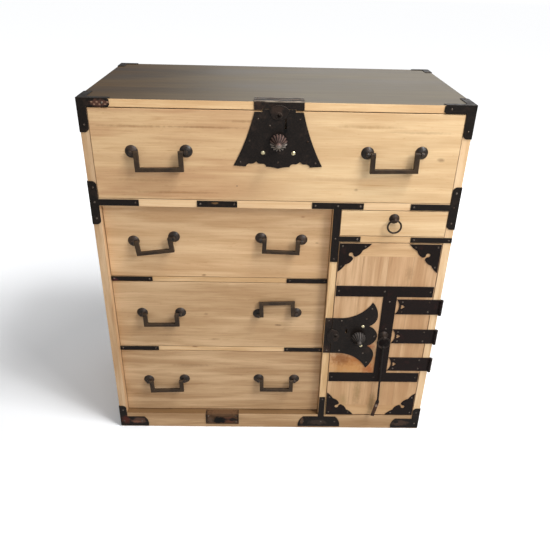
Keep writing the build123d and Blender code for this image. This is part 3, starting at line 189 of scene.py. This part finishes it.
# The stain lies on the upper face alone and ends just under its edge.
top_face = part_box("top_board")[1].z
stain_end, stain_full = top_face - 0.0007, top_face - 0.0002
upright = add(tree, "SeparateXYZ", place, out=2)
is_stained = add(tree, "MapRange", upright, stain_end, stain_full)
top_colour = add(tree, "MixRGB", is_stained, edge_colour, stain)
wood_surface(tree, shader, top_colour, edge_height)
dull = add(tree, "Math", rubbed, haze, operation="ADD")
dull = add(tree, "MapRange", dull, 0.3, 1.6, 0.46, 0.6)
tree.links.new(dull, shader.inputs["Roughness"])
dress(made, "top_board")

# ---- Rails, divider and base ---------------------------------------------------------------
# Narrow kiri rails part the openings and a full-depth board divides the lower bays. They are
# housed between the sides and show their edges, a little paler than the drawer fronts.
rail_dent = (-0.219, 0.2846, 0.012, 0.004, "#8A5E3A", 0.7)
dress(kiri("bare_kiri_mid_rail", "#F3D1A5", "#E2BD8F", "X", 13.0), "mid_rail")
dress(kiri("bare_kiri_rails", "#E6C396", "#D0A878", "X", 17.5, [rail_dent]), "lower_rails")
dress(kiri("bare_kiri_divider", "#E8C596", "#CBA474", "Z", 25.2), "divider_board")

# The base is darker than the boards above; its narrow ledge under the drawers gets painted shade.
made, tree, shader, place = finish_of("bare_kiri_base")
colour, height = kiri_figure(tree, place, "#C8A57D", "#A9855E", "X", 21.8)
normal = add(tree, "NewGeometry", out="Normal")
facing = add(tree, "SeparateXYZ", normal, out=2)
# Painted shade: the faces looking up, the ledge, are browned.
ledge_shade = add(tree, "MapRange", facing, 0.5, 0.8, 0.0, 0.9)
wood_surface(tree, shader, add(tree, "MixRGB", ledge_shade, colour, "#6E5233"), height)
dress(made, "base_rail")

# ---- Boards inside and behind --------------------------------------------------------------
# The bottom, the dust shelves, the stops and the back planks are thinner kiri, planed once and
# never finished, so they are greyer and duller than the front.
inside = kiri("raw_kiri_inside", "#CDB08A", "#B69670", "X", 31.0)
dress(inside, "bottom_board", "dust_boards", "stop_blocks")
dress(kiri("raw_kiri_back", "#C6A983", "#B09470", "X", 36.3), "back_boards")

# ---- Drawers -------------------------------------------------------------------------------
# Each drawer is a thick front of kiri with a thin box lapped and glued into it. The fronts were
# cut from different boards, so tone and figure differ, and each has its own small knots and dents.
# The top front is paler towards the right, and painted shade blackens the wood behind its keyhole.

# First the painted shade in the keyhole, then knots and dents, then long faint stains along the
# grain.
top_marks = [
    (0.0190, 0.9190, 0.0160, 0.0360, "#0C0806", 1.0),
    (-0.0935, 0.7748, 0.0020, 0.0016, "#2A1A10", 0.95),
    (0.3887, 0.8470, 0.0110, 0.0060, "#A07E5C", 0.75),
    (0.1942, 0.7698, 0.0060, 0.0040, "#9A7654", 0.6),
    (-0.3359, 0.9145, 0.1000, 0.0040, "#AC845A", 0.75),
    (-0.1700, 0.9150, 0.1100, 0.0035, "#A27B52", 0.8),
    (-0.0800, 0.9300, 0.0500, 0.0040, "#AC845A", 0.7),
    (-0.2400, 0.7560, 0.1300, 0.0040, "#A87F54", 0.7),
    (-0.3000, 0.7860, 0.0900, 0.0060, "#B68E63", 0.6),
    (0.2100, 0.9222, 0.0900, 0.0050, "#C09A6E", 0.7),
    (0.3300, 0.9110, 0.0900, 0.0040, "#C4A076", 0.6),
    (0.1300, 0.7950, 0.1400, 0.0060, "#D2AC80", 0.6),
]
made, tree, shader, place = finish_of("bare_kiri_top_drawer")
warm, warm_height = kiri_figure(tree, place, "#E1BE90", "#CBA177", "X", 41.0)
pale = kiri_figure(tree, place, "#EDCD9F", "#DCB88A", "X", 42.0)[0]
# The top front turns paler towards the right.
paler_from, paler_full = -0.15, 0.12
paler_right = add(tree, "SeparateXYZ", place)
paler_right = add(tree, "MapRange", paler_right, paler_from, paler_full)
colour = add(tree, "MixRGB", paler_right, warm, pale)
wood_surface(tree, shader, touched(tree, place, colour, top_marks), warm_height)
dress(made, "top_drawer_front")

# The fronts of the left bay grow darker downwards; the small drawer is as pale as the right side.
upper_marks = [
    (-0.1843, 0.5173, 0.0080, 0.0040, "#8F6540", 0.85),
    (0.0705, 0.6882, 0.0080, 0.0035, "#B07C55", 0.7),
    (0.1100, 0.6164, 0.0060, 0.0020, "#9A7350", 0.7),
]
upper = kiri("bare_kiri_upper_drawer", "#E6C397", "#D0A87C", "X", 46.6, upper_marks)
dress(upper, "upper_left_drawer_front")
middle_marks = [
    (0.0160, 0.3612, 0.0110, 0.0030, "#7A5A3C", 0.9),
    (-0.1833, 0.3946, 0.0080, 0.0050, "#9C7852", 0.7),
    (-0.1609, 0.3110, 0.0180, 0.0040, "#A07C54", 0.6),
    (-0.2868, 0.3229, 0.0800, 0.0040, "#A27E57", 0.5),
]
middle = kiri("bare_kiri_middle_drawer", "#D7B58C", "#BC976E", "X", 52.9, middle_marks)
dress(middle, "middle_left_drawer_front")
lower_marks = [
    (-0.2301, 0.2182, 0.0700, 0.0060, "#96734E", 0.55),
    (-0.0620, 0.2096, 0.0800, 0.0060, "#96734E", 0.5),
    (-0.3342, 0.2527, 0.0700, 0.0040, "#9C7852", 0.5),
]
lower = kiri("bare_kiri_lower_drawer", "#D4B28A", "#B48F67", "X", 58.1, lower_marks)
dress(lower, "lower_left_drawer_front")
dress(kiri("bare_kiri_small_drawer", "#F3D5A8", "#E0BC8E", "X", 63.7), "small_drawer_front")

# Raw kiri of the boxes: the grain runs back along the sides and across on the drawer's back.
boxes = [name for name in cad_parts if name.endswith("_drawer_box")]
made, tree, shader, place = finish_of("raw_kiri_drawer_box")
place_x = add(tree, "SeparateXYZ", place)
place_y = add(tree, "SeparateXYZ", place, out=1)
crossed = add(tree, "CombineXYZ", place_y, place_x, add(tree, "SeparateXYZ", place, out=2))
crosswise = add(tree, "SeparateXYZ", add(tree, "NewGeometry", out="Normal"), out=1)
crosswise = add(tree, "Math", crosswise, operation="ABSOLUTE")
crosswise = add(tree, "MapRange", crosswise, 0.4, 0.6)
along_grain = add(tree, "MixRGB", crosswise, place, crossed)
colour, height = kiri_figure(tree, along_grain, "#D6BA93", "#BD9D75", "Y", 68.0)
wood_surface(tree, shader, colour, height)
dress(made, *boxes)

# ---- Door ----------------------------------------------------------------------------------
# The door is four upright kiri planks held between a batten at the top and one at the bottom.
# Each plank has its own tone; heat or damp has turned the wood orange below the lock.
made, tree, shader, place = finish_of("bare_kiri_door")
door_low, door_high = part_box("door_boards")
batten = 0.038
joint_blur = 0.0002
plank_width = (door_high.x - door_low.x) / 4
middle_z = (door_low.z + door_high.z) / 2
plank_half = door_high.z - middle_z - batten
upright = add(tree, "SeparateXYZ", place, out=2)
from_middle = add(tree, "Math", upright, middle_z, operation="SUBTRACT")
from_middle = add(tree, "Math", from_middle, operation="ABSOLUTE")
is_plank = add(tree, "MapRange", from_middle, plank_half, plank_half - joint_blur)

# Every plank shows another stretch of the figure and is tinted by its own number.
shift_per_plank = 0.37
tint_seed = 7.31
plank = add(tree, "Math", add(tree, "SeparateXYZ", place), door_low.x, operation="SUBTRACT")
plank = add(tree, "Math", plank, 1 / plank_width, operation="MULTIPLY")
number = add(tree, "Math", plank, operation="FLOOR")
shift = add(tree, "Math", number, shift_per_plank, operation="MULTIPLY")
moved = add(tree, "VectorMath", place, add(tree, "CombineXYZ", 0.0, 0.0, shift), operation="ADD")
upright_colour, upright_height = kiri_figure(tree, moved, "#DFBA91", "#C0976E", "Z", 74.0)
batten_colour, batten_height = kiri_figure(tree, place, "#E2BD90", "#C99F72", "X", 79.0)
tint = add(tree, "TexWhiteNoise", None, add(tree, "Math", number, tint_seed), noise_dimensions="1D")
tint = add(tree, "Math", tint, 0.35, operation="MULTIPLY")
upright_colour = add(tree, "MixRGB", tint, upright_colour, "#C99A70")
stained = streaks(tree, moved, "Z", 71.0, 150, 12, 3)
stained = add(tree, "MapRange", stained, 0.56, 0.72, 0.0, 0.5)
upright_colour = add(tree, "MixRGB", stained, upright_colour, "#A8845A")

# The joints between planks are fine dark seams; their limits are shares of a plank's width.
seam_edge, seam_core = 0.011, 0.002
joint = add(tree, "Math", plank, 0.5, operation="ADD")
joint = add(tree, "Math", joint, operation="FRACT")
joint = add(tree, "Math", joint, 0.5, operation="SUBTRACT")
joint = add(tree, "Math", joint, operation="ABSOLUTE")
seam = add(tree, "MapRange", joint, seam_edge, seam_core, 0.0, 0.5)
upright_colour = add(tree, "MixRGB", seam, upright_colour, "#7F5C3C")
door_colour = add(tree, "MixRGB", is_plank, batten_colour, upright_colour)

# The wood is browner towards the foot, with scorched and worn spots on the front face only.
brown_from, brown_full = 0.5, 0.05
foot = add(tree, "MapRange", upright, brown_from, brown_full, 0.0, 0.45)
door_colour = add(tree, "MixRGB", foot, door_colour, "#B98F62")
door_marks = [
    (0.2250, 0.2350, 0.1100, 0.0480, "#CB9050", 0.8),
    (0.2450, 0.2620, 0.0900, 0.0300, "#A9642C", 0.75),
    (0.1950, 0.2640, 0.0320, 0.0300, "#8F5A30", 0.8),
    (0.2800, 0.2260, 0.0300, 0.0280, "#A65A28", 0.8),
    (0.2720, 0.3050, 0.0200, 0.0140, "#A8562A", 0.8),
    (0.2540, 0.1450, 0.0140, 0.0600, "#8F7448", 0.55),
    (0.3000, 0.1000, 0.0140, 0.0500, "#8F7448", 0.65),
    (0.3550, 0.5400, 0.0120, 0.0300, "#A8845C", 0.6),
    (0.1700, 0.5100, 0.0016, 0.0120, "#7A5638", 0.7),
    (0.2150, 0.1100, 0.0160, 0.0300, "#A88A5C", 0.6),
]
skin = 0.002
is_front = add(tree, "SeparateXYZ", place, out=1)
is_front = add(tree, "MapRange", is_front, door_low.y + 2 * skin, door_low.y + skin)
marked_colour = touched(tree, place, door_colour, door_marks)
door_colour = add(tree, "MixRGB", is_front, door_colour, marked_colour)

# Painted shade blackens the keyhole through the whole board.
door_keyhole_shade = (0.2087, 0.3437, 0.0160, 0.0300, "#0C0806", 1.0)
door_colour = touched(tree, place, door_colour, [door_keyhole_shade])
door_height = add(tree, "MixRGB", is_plank, batten_height, upright_height)
wood_surface(tree, shader, door_colour, door_height)
dress(made, "door_boards")

# ---- Iron fittings on the case -------------------------------------------------------------
# Corner pieces, straps and plates are cut from sheet iron, heated and rubbed with lacquer, which
# bakes to a black skin. It has gone brown where damp got under it and grey where it is rubbed.


def lacquered_iron(name, black, brown, browned, rough, drift=0.0, dents=0.35, touches=(), shine=0.3):
    """Sheet iron under baked lacquer: a broken black satin, brown in blotches, grey on the edges.

    Browned is the share of the face that has rusted through, shine the bareness of its edges.
    """
    made, tree, shader, place = finish_of(name)
    spot = add(tree, "Mapping", place, (drift, drift, drift))
    # Blotches of rust, hammer marks, and pits drawn coarser than the real 0.5 mm ones to show.
    blotch = add(tree, "TexNoise", spot, Scale=1000 / 26.316, Detail=6.0, Roughness=0.62)
    pits = add(tree, "TexNoise", spot, Scale=1000 / 2.381, Detail=3.0)
    hammer = add(tree, "TexNoise", spot, Scale=1000 / 14.286, Detail=2.0)
    rust = add(tree, "MapRange", blotch, 0.70 - browned * 0.45, 0.80 - browned * 0.4, 0.0, 0.8)
    skin = add(tree, "MixRGB", add(tree, "MapRange", pits, 0.4, 0.7, 0.0, 0.5), black, brown)
    face = touched(tree, place, add(tree, "MixRGB", rust, skin, brown), touches, 0.15)
    # Edges are found where a softened normal turns from the true one; there the metal is bare.
    soft = add(tree, "Bevel", Radius=0.0012, samples=4)
    true = add(tree, "NewGeometry", out="Normal")
    turn = add(tree, "VectorMath", soft, true, out="Value", operation="DOT_PRODUCT")
    rubbed = add(tree, "MapRange", turn, 0.995, 0.9, 0.0, shine)
    tree.links.new(add(tree, "MixRGB", rubbed, face, "#6A5F56"), shader.inputs["Base Color"])
    tree.links.new(rubbed, shader.inputs["Metallic"])
    height = add(tree, "Math", pits, 0.4, operation="MULTIPLY")
    height = add(tree, "Math", height, hammer, operation="ADD")
    bump = add(tree, "Bump", Strength=dents, Distance=0.0012, Height=height, Normal=soft)
    tree.links.new(bump, shader.inputs["Normal"])
    worn = add(tree, "MapRange", blotch, 0.35, 0.7, rough, rough + 0.2)
    tree.links.new(worn, shader.inputs["Roughness"])
    shader.inputs["Specular IOR Level"].default_value = 0.19
    return made


# Rust shows on the feet and on the upper left corner. That one's front arm has chased curls, which
# are drawn as pale brown spots in a zigzag.
corner_marks = [
    (-0.4010, 0.9650, 0.0320, 0.0120, "#5A3C31", 0.85),
    (-0.4348, 0.0260, 0.0180, 0.0240, "#4E231A", 0.95),
    (-0.3950, 0.0240, 0.0450, 0.0180, "#5A4033", 0.85),
    (-0.4020, 0.0190, 0.0200, 0.0070, "#7E5340", 0.8),
    (-0.4150, 0.0310, 0.0110, 0.0100, "#0E0A08", 0.9),
    (-0.3720, 0.0280, 0.0090, 0.0140, "#0E0A08", 0.9),
    (0.3950, 0.0220, 0.0420, 0.0160, "#4A372C", 0.8),
    (0.3830, 0.0260, 0.0120, 0.0080, "#0E0A08", 0.9),
]
curls = 7
curl_start, curl_step = -0.4165, 0.006
curl_middle, curl_swing = 0.9650, 0.0026
for curl in range(curls):
    curl_x = curl_start + curl_step * curl
    curl_z = curl_middle + curl_swing * (-1) ** curl
    corner_marks.append((curl_x, curl_z, 0.0038, 0.0026, "#9A7A64", 0.9))
corners = lacquered_iron(
    "lacquered_iron_corners", "#120F0D", "#2E221B", 0.3, 0.4, touches=corner_marks
)
dress(corners, "corner_irons")

# The straps have kept a little more of their black, with small brown and reddish spots.
strap_marks = [
    (-0.1476, 0.7300, 0.0150, 0.0040, "#7A5A38", 0.8),
    (-0.4200, 0.5013, 0.0120, 0.0080, "#4A2228", 0.8),
    (-0.4100, 0.2900, 0.0120, 0.0080, "#3A1C1E", 0.7),
    (0.1420, 0.0220, 0.0450, 0.0140, "#40332B", 0.75),
    (0.0960, 0.0260, 0.0080, 0.0200, "#6A4E3A", 0.7),
]
straps = lacquered_iron(
    "lacquered_iron_straps", "#120E0C", "#2C2019", 0.25, 0.38, 3.0, touches=strap_marks
)
dress(straps, "rail_straps", "divider_irons")

# The plate on the base has lost most of its lacquer and is brown and dull, with black remains.
plate_marks = [
    (-0.1430, 0.0500, 0.0700, 0.0100, "#6C4F37", 0.6),
    (-0.1290, 0.0280, 0.0400, 0.0180, "#5E3828", 0.8),
    (-0.1800, 0.0260, 0.0160, 0.0200, "#5A4739", 0.7),
    (-0.1530, 0.0270, 0.0330, 0.0200, "#0A0706", 1.0),
    (-0.1120, 0.0300, 0.0220, 0.0100, "#14100D", 0.95),
    (-0.0950, 0.0360, 0.0080, 0.0300, "#1A130E", 0.9),
    (-0.1930, 0.0340, 0.0060, 0.0300, "#1A130E", 0.9),
]
plate = lacquered_iron(
    "browned_iron_base_plate", "#261A11", "#543B26", 0.95, 0.55, 8.0, touches=plate_marks
)
dress(plate, "base_centre_plate")

# The strikes are knocked by their locks, which bares their edges. The upper one has painted
# highlights, broken pale lines along its front edge, along the edge of its raised step and along its
# rear edge.
strikes = lacquered_iron(
    "lacquered_iron_strikes", "#15110F", "#3A2A22", 0.45, 0.5, 5.0, 0.5, shine=0.75
)
tree = strikes.node_tree
shader = tree.nodes["Principled BSDF"]
place = add(tree, "TexCoord", out="Object")
strike_low, strike_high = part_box("strike_plates")
inset = 0.001
front_line = strike_low.y + inset
step_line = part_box("case_side_left")[0].y + 0.0185
rear_line = strike_high.y - inset
line_soft, line_core = 0.0022, 0.0006
inward = add(tree, "SeparateXYZ", place, out=1)
raised = add(tree, "SeparateXYZ", place, out=2)
raised = add(tree, "MapRange", raised, strike_high.z - 0.0035, strike_high.z - 0.002)
broken = add(tree, "MapRange", streaks(tree, place, "X", 6.0, 26, 3, 3), 0.42, 0.56, 0.15, 1.0)
# Painted highlights: pale lines on the upper strike's top edges, where the light catches them.
edge_highlight = None
for line in (front_line, step_line, rear_line):
    off = add(tree, "Math", inward, line, operation="SUBTRACT")
    off = add(tree, "Math", off, operation="ABSOLUTE")
    near = add(tree, "MapRange", off, line_soft, line_core)
    edge_highlight = near if edge_highlight is None else add(tree, "Math", edge_highlight, near, operation="MAXIMUM")
edge_highlight = add(tree, "Math", edge_highlight, raised, operation="MULTIPLY")
edge_highlight = add(tree, "Math", edge_highlight, broken, operation="MULTIPLY")
colour = shader.inputs["Base Color"].links[0].from_socket
tree.links.new(add(tree, "MixRGB", edge_highlight, colour, "#B5A694"), shader.inputs["Base Color"])
dress(strikes, "strike_plates")

# ---- Nails ---------------------------------------------------------------------------------
# The fittings are fixed with forged iron nails. Their domed heads stand proud, so hands and
# cloths have rubbed the lacquer off them and they show as small grey points.


def rubbed_iron(name, colour, rough, touches=()):
    """Bare iron: a soft grey metal shine, broken by a thin brown film."""
    made, tree, shader, place = finish_of(name)
    film = add(tree, "TexNoise", place, Scale=1000 / 6.25, Detail=4.0)
    tone = add(tree, "MixRGB", add(tree, "MapRange", film, 0.42, 0.62), colour, "#3B2E26")
    tree.links.new(touched(tree, place, tone, touches), shader.inputs["Base Color"])
    shader.inputs["Metallic"].default_value = 1.0
    shader.inputs["Roughness"].default_value = rough
    return made


# The rivets on which the keyhole covers turn share these nodes and have kept their black skin.
rivets = [
    (0.0035, 0.9450, 0.0090, 0.0090, "#1A1614", 1.0),
    (0.1755, 0.3418, 0.0090, 0.0090, "#1A1614", 1.0),
]
nails = rubbed_iron("rubbed_iron_nails", "#746A61", 0.44, rivets)
dress(nails, "case_nails", "door_nails")
dress(rubbed_iron("dull_iron_lock_nails", "#544B44", 0.5, rivets), "top_lock_nails")

# ---- Bail handles --------------------------------------------------------------------------
# Square forged bails hang in eye posts, which pass through domed rosettes and the drawer front
# and are clenched inside. Use has worn their lacquer to a grey-brown sheen.
bails = [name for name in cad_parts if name.endswith("_bail")]
posts = [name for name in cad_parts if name.endswith("_handle_posts")]
grips = lacquered_iron("worn_iron_bails", "#2E251E", "#453627", 0.6, 0.44, 11.0, 0.6, shine=0.6)
dress(grips, *bails)

# Cloths have polished the domes a little more than the bails, so they catch the light.
rosettes = lacquered_iron(
    "worn_iron_rosettes", "#181512", "#3E2E23", 0.5, 0.3, 14.0, 0.6, shine=0.6
)
rosettes.node_tree.nodes["Principled BSDF"].inputs["Specular IOR Level"].default_value = 0.4
dress(rosettes, *posts)

# ---- Ring pulls ----------------------------------------------------------------------------
# The small drawer and the door have a plain round ring in an eye post with a domed rosette.
# They are handled most, so their black is thin and their edges are bare.
ring_nodes = ["small_drawer_ring", "small_drawer_ring_post", "door_pull_ring", "door_pull_post"]
rings = lacquered_iron("worn_iron_rings", "#1F1A17", "#403229", 0.4, 0.32, 17.0, shine=0.75)
dress(rings, *ring_nodes)

# ---- Door irons and hinges -----------------------------------------------------------------
# Two straps, a spine and four pierced corner pieces hold the door's planks together. Three
# strap hinges with fishtail ends turn on pins outside the corner of the case. All have kept most
# of their lacquer and are the blackest irons of the chest.
door_irons = lacquered_iron("lacquered_iron_door", "#0E0705", "#281511", 0.25, 0.36, 20.0)
dress(door_irons, "door_irons")
hinges = lacquered_iron("lacquered_iron_hinges", "#120A08", "#2A1613", 0.3, 0.38, 23.0)
dress(hinges, "door_hinge_leaves", "side_hinge_leaves")

# ---- Locks ---------------------------------------------------------------------------------
# Each lock has a shaped iron plate, a fluted push knob, a bolt in the edge, a pivoting keyhole
# cover and two brass studs. The plates are black, with soft dents that break up their shine, and
# blackest around the keyhole of the top one.
keyhole_shade = (0.0190, 0.9180, 0.0070, 0.0260, "#050302", 1.0)
lock_plates = lacquered_iron(
    "lacquered_iron_lock_plates", "#161210", "#30251F", 0.3, 0.36, 26.0, 0.6, [keyhole_shade]
)
dress(lock_plates, "top_lock_plate", "door_lock_plate")
covers = lacquered_iron(
    "lacquered_iron_keyhole_covers", "#181412", "#382A22", 0.45, 0.36, 29.0, shine=0.6
)
dress(covers, "top_keyhole_cover", "door_keyhole_cover")


def knob_with_painted_light(name, node, above, below):
    """Fluted iron with a thin brown film; painted shade in its grooves, painted light and shade on
    its halves.
    """
    made, tree, shader, place = finish_of(name)
    low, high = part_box(node)
    level = (low.z + high.z) / 2
    blend = 0.004
    # Painted shade: the grooves that the occlusion node finds are made near black.
    groove_shade = add(tree, "AmbientOcclusion", Distance=0.003, samples=8, out="AO")
    film = add(tree, "TexNoise", place, Scale=1000 / 8.333, Detail=4.0)
    # Painted light: the upper and lower halves get the tones of a lit and a shaded side.
    upright = add(tree, "SeparateXYZ", place, out=2)
    half = add(tree, "MapRange", upright, level - blend, level + blend)
    tone = add(tree, "MixRGB", half, below, above)
    tone = add(tree, "MixRGB", add(tree, "MapRange", film, 0.38, 0.66, 0.0, 0.5), tone, "#3C332E")
    tone = add(tree, "MixRGB", add(tree, "MapRange", groove_shade, 0.96, 0.78), tone, "#040303")
    tree.links.new(tone, shader.inputs["Base Color"])
    shader.inputs["Metallic"].default_value = 0.35
    tree.links.new(add(tree, "MapRange", film, 0.3, 0.7, 0.5, 0.62), shader.inputs["Roughness"])
    dress(made, node)


# The upper knob is pinkish brown above, with a painted highlight below; the door's is dark, painted
# lighter above and shaded below.
knob_with_painted_light("iron_top_knob_painted_highlight", "top_lock_knob", "#6A5048", "#B4ABA3")
knob_with_painted_light("iron_door_knob_painted_light", "door_lock_knob", "#4C4642", "#26211E")

# Filed iron: the bolts slide in their slots, so they stay smoother and brighter than the nails.
dress(rubbed_iron("filed_iron_bolts", "#9A9087", 0.3), "top_lock_bolt", "door_lock_bolt")

# Worn brass: pale yellow points with a film of tarnish, drawn coarse enough to show on a stud.
made, tree, shader, place = finish_of("worn_brass_studs")
film = add(tree, "TexNoise", place, Scale=1000 / 4.167, Detail=4.0)
tone = add(tree, "MixRGB", add(tree, "MapRange", film, 0.45, 0.7), "#F2E8C0", "#B09A66")
tree.links.new(tone, shader.inputs["Base Color"])
shader.inputs["Metallic"].default_value = 0.9
shader.inputs["Roughness"].default_value = 0.4
dress(made, "top_lock_studs", "door_lock_studs")

# ---- Key -----------------------------------------------------------------------------------
# The key to both locks hangs on the door's ring: a forged shaft with an eye and a long notched
# bit. The shaft is black, the bit is brown from handling and bare at one spot.
bit_marks = [
    (0.3100, 0.0900, 0.0250, 0.0380, "#4A3022", 0.8),
    (0.3120, 0.1020, 0.0060, 0.0080, "#8A7A6C", 0.8),
]
key = lacquered_iron(
    "browned_iron_key", "#15110F", "#2A1F18", 0.3, 0.42, 33.0, 0.6, bit_marks, 0.4
)
dress(key, "hanging_key")

# ---- Floor and light -----------------------------------------------------------------------
# A white studio floor that is paler away from the chest. The main light stands high on the right,
# so the shadow falls to the left; a low panel behind gives the stained top its sheen.
bpy.ops.mesh.primitive_plane_add(size=40.0, location=(0, 0, 0))
floor = bpy.context.object
floor.name = "studio_floor"
made, tree, shader, place = finish_of("white_floor")
shader.inputs["Roughness"].default_value = 0.9
shader.inputs["Emission Color"].default_value = linear("#FFFFFF")
seen = add(tree, "LightPath", out="Is Camera Ray")
tree.links.new(add(tree, "MixRGB", seen, "#BCBCBC", "#F8FAFD"), shader.inputs["Base Color"])

# The camera alone sees the floor glow a little, from the chest's shadow out to pure white.
shadow_reach, white_from = 0.9, 2.2
far = add(tree, "VectorMath", place, out="Value", operation="LENGTH")
glow = add(tree, "MapRange", far, shadow_reach, white_from, 0.05, 0.6)
glow = add(tree, "Math", glow, seen, operation="MULTIPLY")
tree.links.new(glow, shader.inputs["Emission Strength"])
floor.data.materials.append(made)


def lamp(name, spot, aim, size, power, colour):
    """Soft rectangular lamp at a spot, aimed at a point."""
    light = bpy.data.lights.new(name, "AREA")
    light.shape = "RECTANGLE"
    light.size, light.size_y = size
    light.energy = power
    light.color = linear(colour)[:3]
    holder = bpy.data.objects.new(name, light)
    holder.location = spot
    holder.rotation_euler = (Vector(aim) - Vector(spot)).to_track_quat("-Z", "Y").to_euler()
    bpy.context.scene.collection.objects.link(holder)


lamp("main_light", (1.9, -1.6, 2.5), (0.1, 0.1, 0.5), (0.9, 0.9), 50, "#FFFDFA")
lamp("high_light", (1.5, -0.75, 3.8), (0.0, 0.1, 0.4), (0.9, 0.9), 94, "#FFFFFF")
lamp("front_light", (0.6, -3.2, 1.7), (0.0, 0.0, 0.5), (2.0, 1.6), 12, "#FFFFFF")
lamp("back_panel", (0.75, 2.7, 1.72), (0.2, 0.2, 0.95), (2.4, 1.0), 11, "#FFFFFF")

# The studio around is white to the eye and lights the chest with less than half of that.
fill, white = 0.4, 1.0
world = bpy.data.worlds.new("studio")
bpy.context.scene.world = world
world.use_nodes = True
tree = world.node_tree
seen = add(tree, "LightPath", out="Is Camera Ray")
clear = add(tree, "LightPath", out="Is Transmission Ray")
direct = add(tree, "Math", seen, clear, operation="MAXIMUM")
strength = add(tree, "MapRange", direct, 0.0, 1.0, fill, white)
tree.links.new(strength, tree.nodes["Background"].inputs["Strength"])
tree.nodes["Background"].inputs["Color"].default_value = linear("#FFFFFF")

# ---- Camera --------------------------------------------------------------------------------
# Held 1.26 m above the floor, close in front of the chest, with a lens a little wider than normal.
# It looks well down, so the uprights draw together below, and is turned slightly out of level.
eye = Vector((-0.028, -1.331, 1.263))
yaw, pitch, roll = radians(1.361), radians(28.99), radians(1.465)
forward = Vector((sin(yaw) * cos(pitch), cos(yaw) * cos(pitch), -sin(pitch)))
right = Vector((cos(yaw), -sin(yaw), 0))
above = right.cross(forward)
side = right * cos(roll) + above * sin(roll)
above = above * cos(roll) - right * sin(roll)
camera = bpy.data.objects.new("camera", bpy.data.cameras.new("camera"))
turned = Matrix((side, above, -forward)).transposed().to_4x4()
camera.matrix_world = Matrix.Translation(eye) @ turned
camera.data.lens = 37.8
bpy.context.scene.collection.objects.link(camera)
bpy.context.scene.camera = camera
bpy.context.scene.view_settings.view_transform = "Standard"
